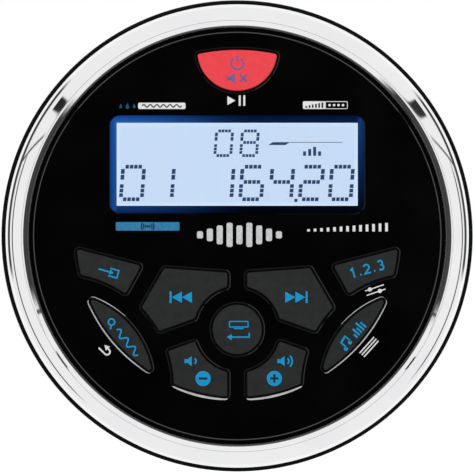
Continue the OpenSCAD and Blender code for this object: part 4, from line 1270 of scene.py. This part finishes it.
# studio: white ground, soft light, dark cards that the bright ring shows
worldLook = {"fill": 1.05, "frontMirror": 0.92, "sideMirror": 1.0, "sideFrom": 106, "sideSoft": 6}
# turn round the view axis and reach off it, each with half width and softness (degrees); drift and level
darkCards = [
    (0, 200, 1, 0, 1.5, 0.3, 0.0, 0.03),
    (14, 24, 3, 106, 13, 3.0, 0.0, 0.06), (164, 26, 3, 106, 13, 3.0, 0.0, 0.06),
    (-10, 28, 5, 73, 4.5, 1.5, 0.0, 0.05), (192, 34, 5, 71, 4.5, 1.5, 0.0, 0.055),
    (34.8, 2.7, 0.5, 35, 32, 3.0, 0.0, 0.03), (143.5, 2.2, 0.5, 32, 30, 3.0, 0.0, 0.02),
    (27.8, 0.7, 0.5, 60, 46, 2.0, -0.1, 0.1), (151.2, 0.7, 0.5, 60, 46, 2.0, 0.1, 0.1),
]


def rayShare(tree, *kinds):
    path = addNode(tree, "LightPath")
    share = path.outputs[kinds[0]]
    for kind in kinds[1:]:
        share = calc(tree, "MAXIMUM", share, path.outputs[kind])
    return share


# 1 within a half width of a middle, 0 outside, soft between
def within(tree, away, half, soft):
    return remap(tree, calc(tree, "ABSOLUTE", away), half - soft, half + soft, 1.0, 0.0, True)


def makeWorld(fill, frontMirror, sideMirror, sideFrom, sideSoft):
    world = bpy.data.worlds.new("studioWorld")
    scene.world = world
    world.use_nodes = True
    tree = world.node_tree
    way = axesOf(tree, "Generated")
    toDegrees = 180 / math.pi
    ahead = calc(tree, "MULTIPLY", way["Y"], -1.0)
    turn = calc(tree, "MULTIPLY", calc(tree, "ARCTAN2", way["Z"], way["X"]), toDegrees)
    reach = calc(tree, "MULTIPLY", calc(tree, "ARCCOSINE", ahead), toDegrees)
    level = remap(tree, reach, sideFrom, sideFrom + sideSoft, frontMirror, sideMirror, True)
    for turnAt, halfTurn, softTurn, reachAt, halfReach, softReach, drift, dark in darkCards:
        lean = calc(tree, "MULTIPLY_ADD", reach, -drift, -turnAt)
        aside = calc(tree, "WRAP", calc(tree, "ADD", turn, lean), 180.0, -180.0)
        inTurn = within(tree, aside, halfTurn, softTurn)
        inReach = within(tree, calc(tree, "SUBTRACT", reach, reachAt), halfReach, softReach)
        inside = calc(tree, "MULTIPLY", inTurn, inReach)
        level = calc(tree, "MINIMUM", level, remap(tree, inside, 0.0, 1.0, sideMirror, dark))
    mirror = rayShare(tree, "Is Glossy Ray")
    plain = rayShare(tree, "Is Camera Ray", "Is Transmission Ray")
    strength = remap(tree, mirror, 0.0, 1.0, fill, level)
    strength = remap(tree, plain, 0.0, 1.0, strength, 1.0)
    wire(tree, strength, tree.nodes["Background"], "Strength")
    tree.nodes["Background"].inputs["Color"].default_value = (1, 1, 1, 1)


makeWorld(**worldLook)
floorLook = {"glow": 0.6, "low": -0.0548, "half": 0.7, "front": -0.2, "back": 1.2}


def makeFloor(glow, low, half, front, back):
    finish = coat("floor", "paleFloor", (184, 184, 184), (188, 188, 188))
    setSockets(finish, {"Emission Color": (1, 1, 1, 1)})
    tree = finish.node_tree
    share = rayShare(tree, "Is Camera Ray", "Is Transmission Ray")
    wire(tree, calc(tree, "MULTIPLY", share, glow), shaderOf(finish), "Emission Strength")
    mesh = bpy.data.meshes.new("paleFloor")
    corners = [(-half, front, low), (half, front, low), (half, back, low), (-half, back, low)]
    mesh.from_pydata(corners, [], [(0, 1, 2, 3)])
    mesh.materials.append(finish)
    floor = addObject("paleFloor", mesh)
    floor.visible_glossy = False  # metal shows the white of the room instead


makeFloor(**floorLook)
lampLook = {"power": 1.4, "size": 0.8, "at": (-0.5, -0.9, 1.1)}


def makeLamp(power, size, at):
    data = bpy.data.lights.new("softBox", "AREA")
    data.energy = power
    data.size = size
    lamp = addObject("softBox", data)
    lamp.location = at
    lamp.rotation_euler = (-Vector(at)).to_track_quat("-Z", "Y").to_euler()
    lamp.visible_glossy = False


makeLamp(**lampLook)
cameraLook = {
    "distance": 5.0, "azimuth": -0.2, "elevation": 0.1, "across": 0.1059,
    "aim": (-0.00003, -0.0063, -0.00001), "sensor": 36, "clipEnd": 20,
}


def makeCamera(distance, azimuth, elevation, across, aim, sensor, clipEnd):
    data = bpy.data.cameras.new("photoCamera")
    data.sensor_width = sensor
    data.lens = sensor * distance / across
    data.clip_end = clipEnd
    camera = addObject("photoCamera", data)
    turn, rise = math.radians(azimuth), math.radians(elevation)
    away = Vector((math.sin(turn) * math.cos(rise), -math.cos(turn) * math.cos(rise), math.sin(rise)))
    camera.location = Vector(aim) + away * distance
    camera.rotation_euler = (-away).to_track_quat("-Z", "Y").to_euler()
    scene.camera = camera


makeCamera(**cameraLook)
scene.view_settings.view_transform = "Standard"
print("studio set")
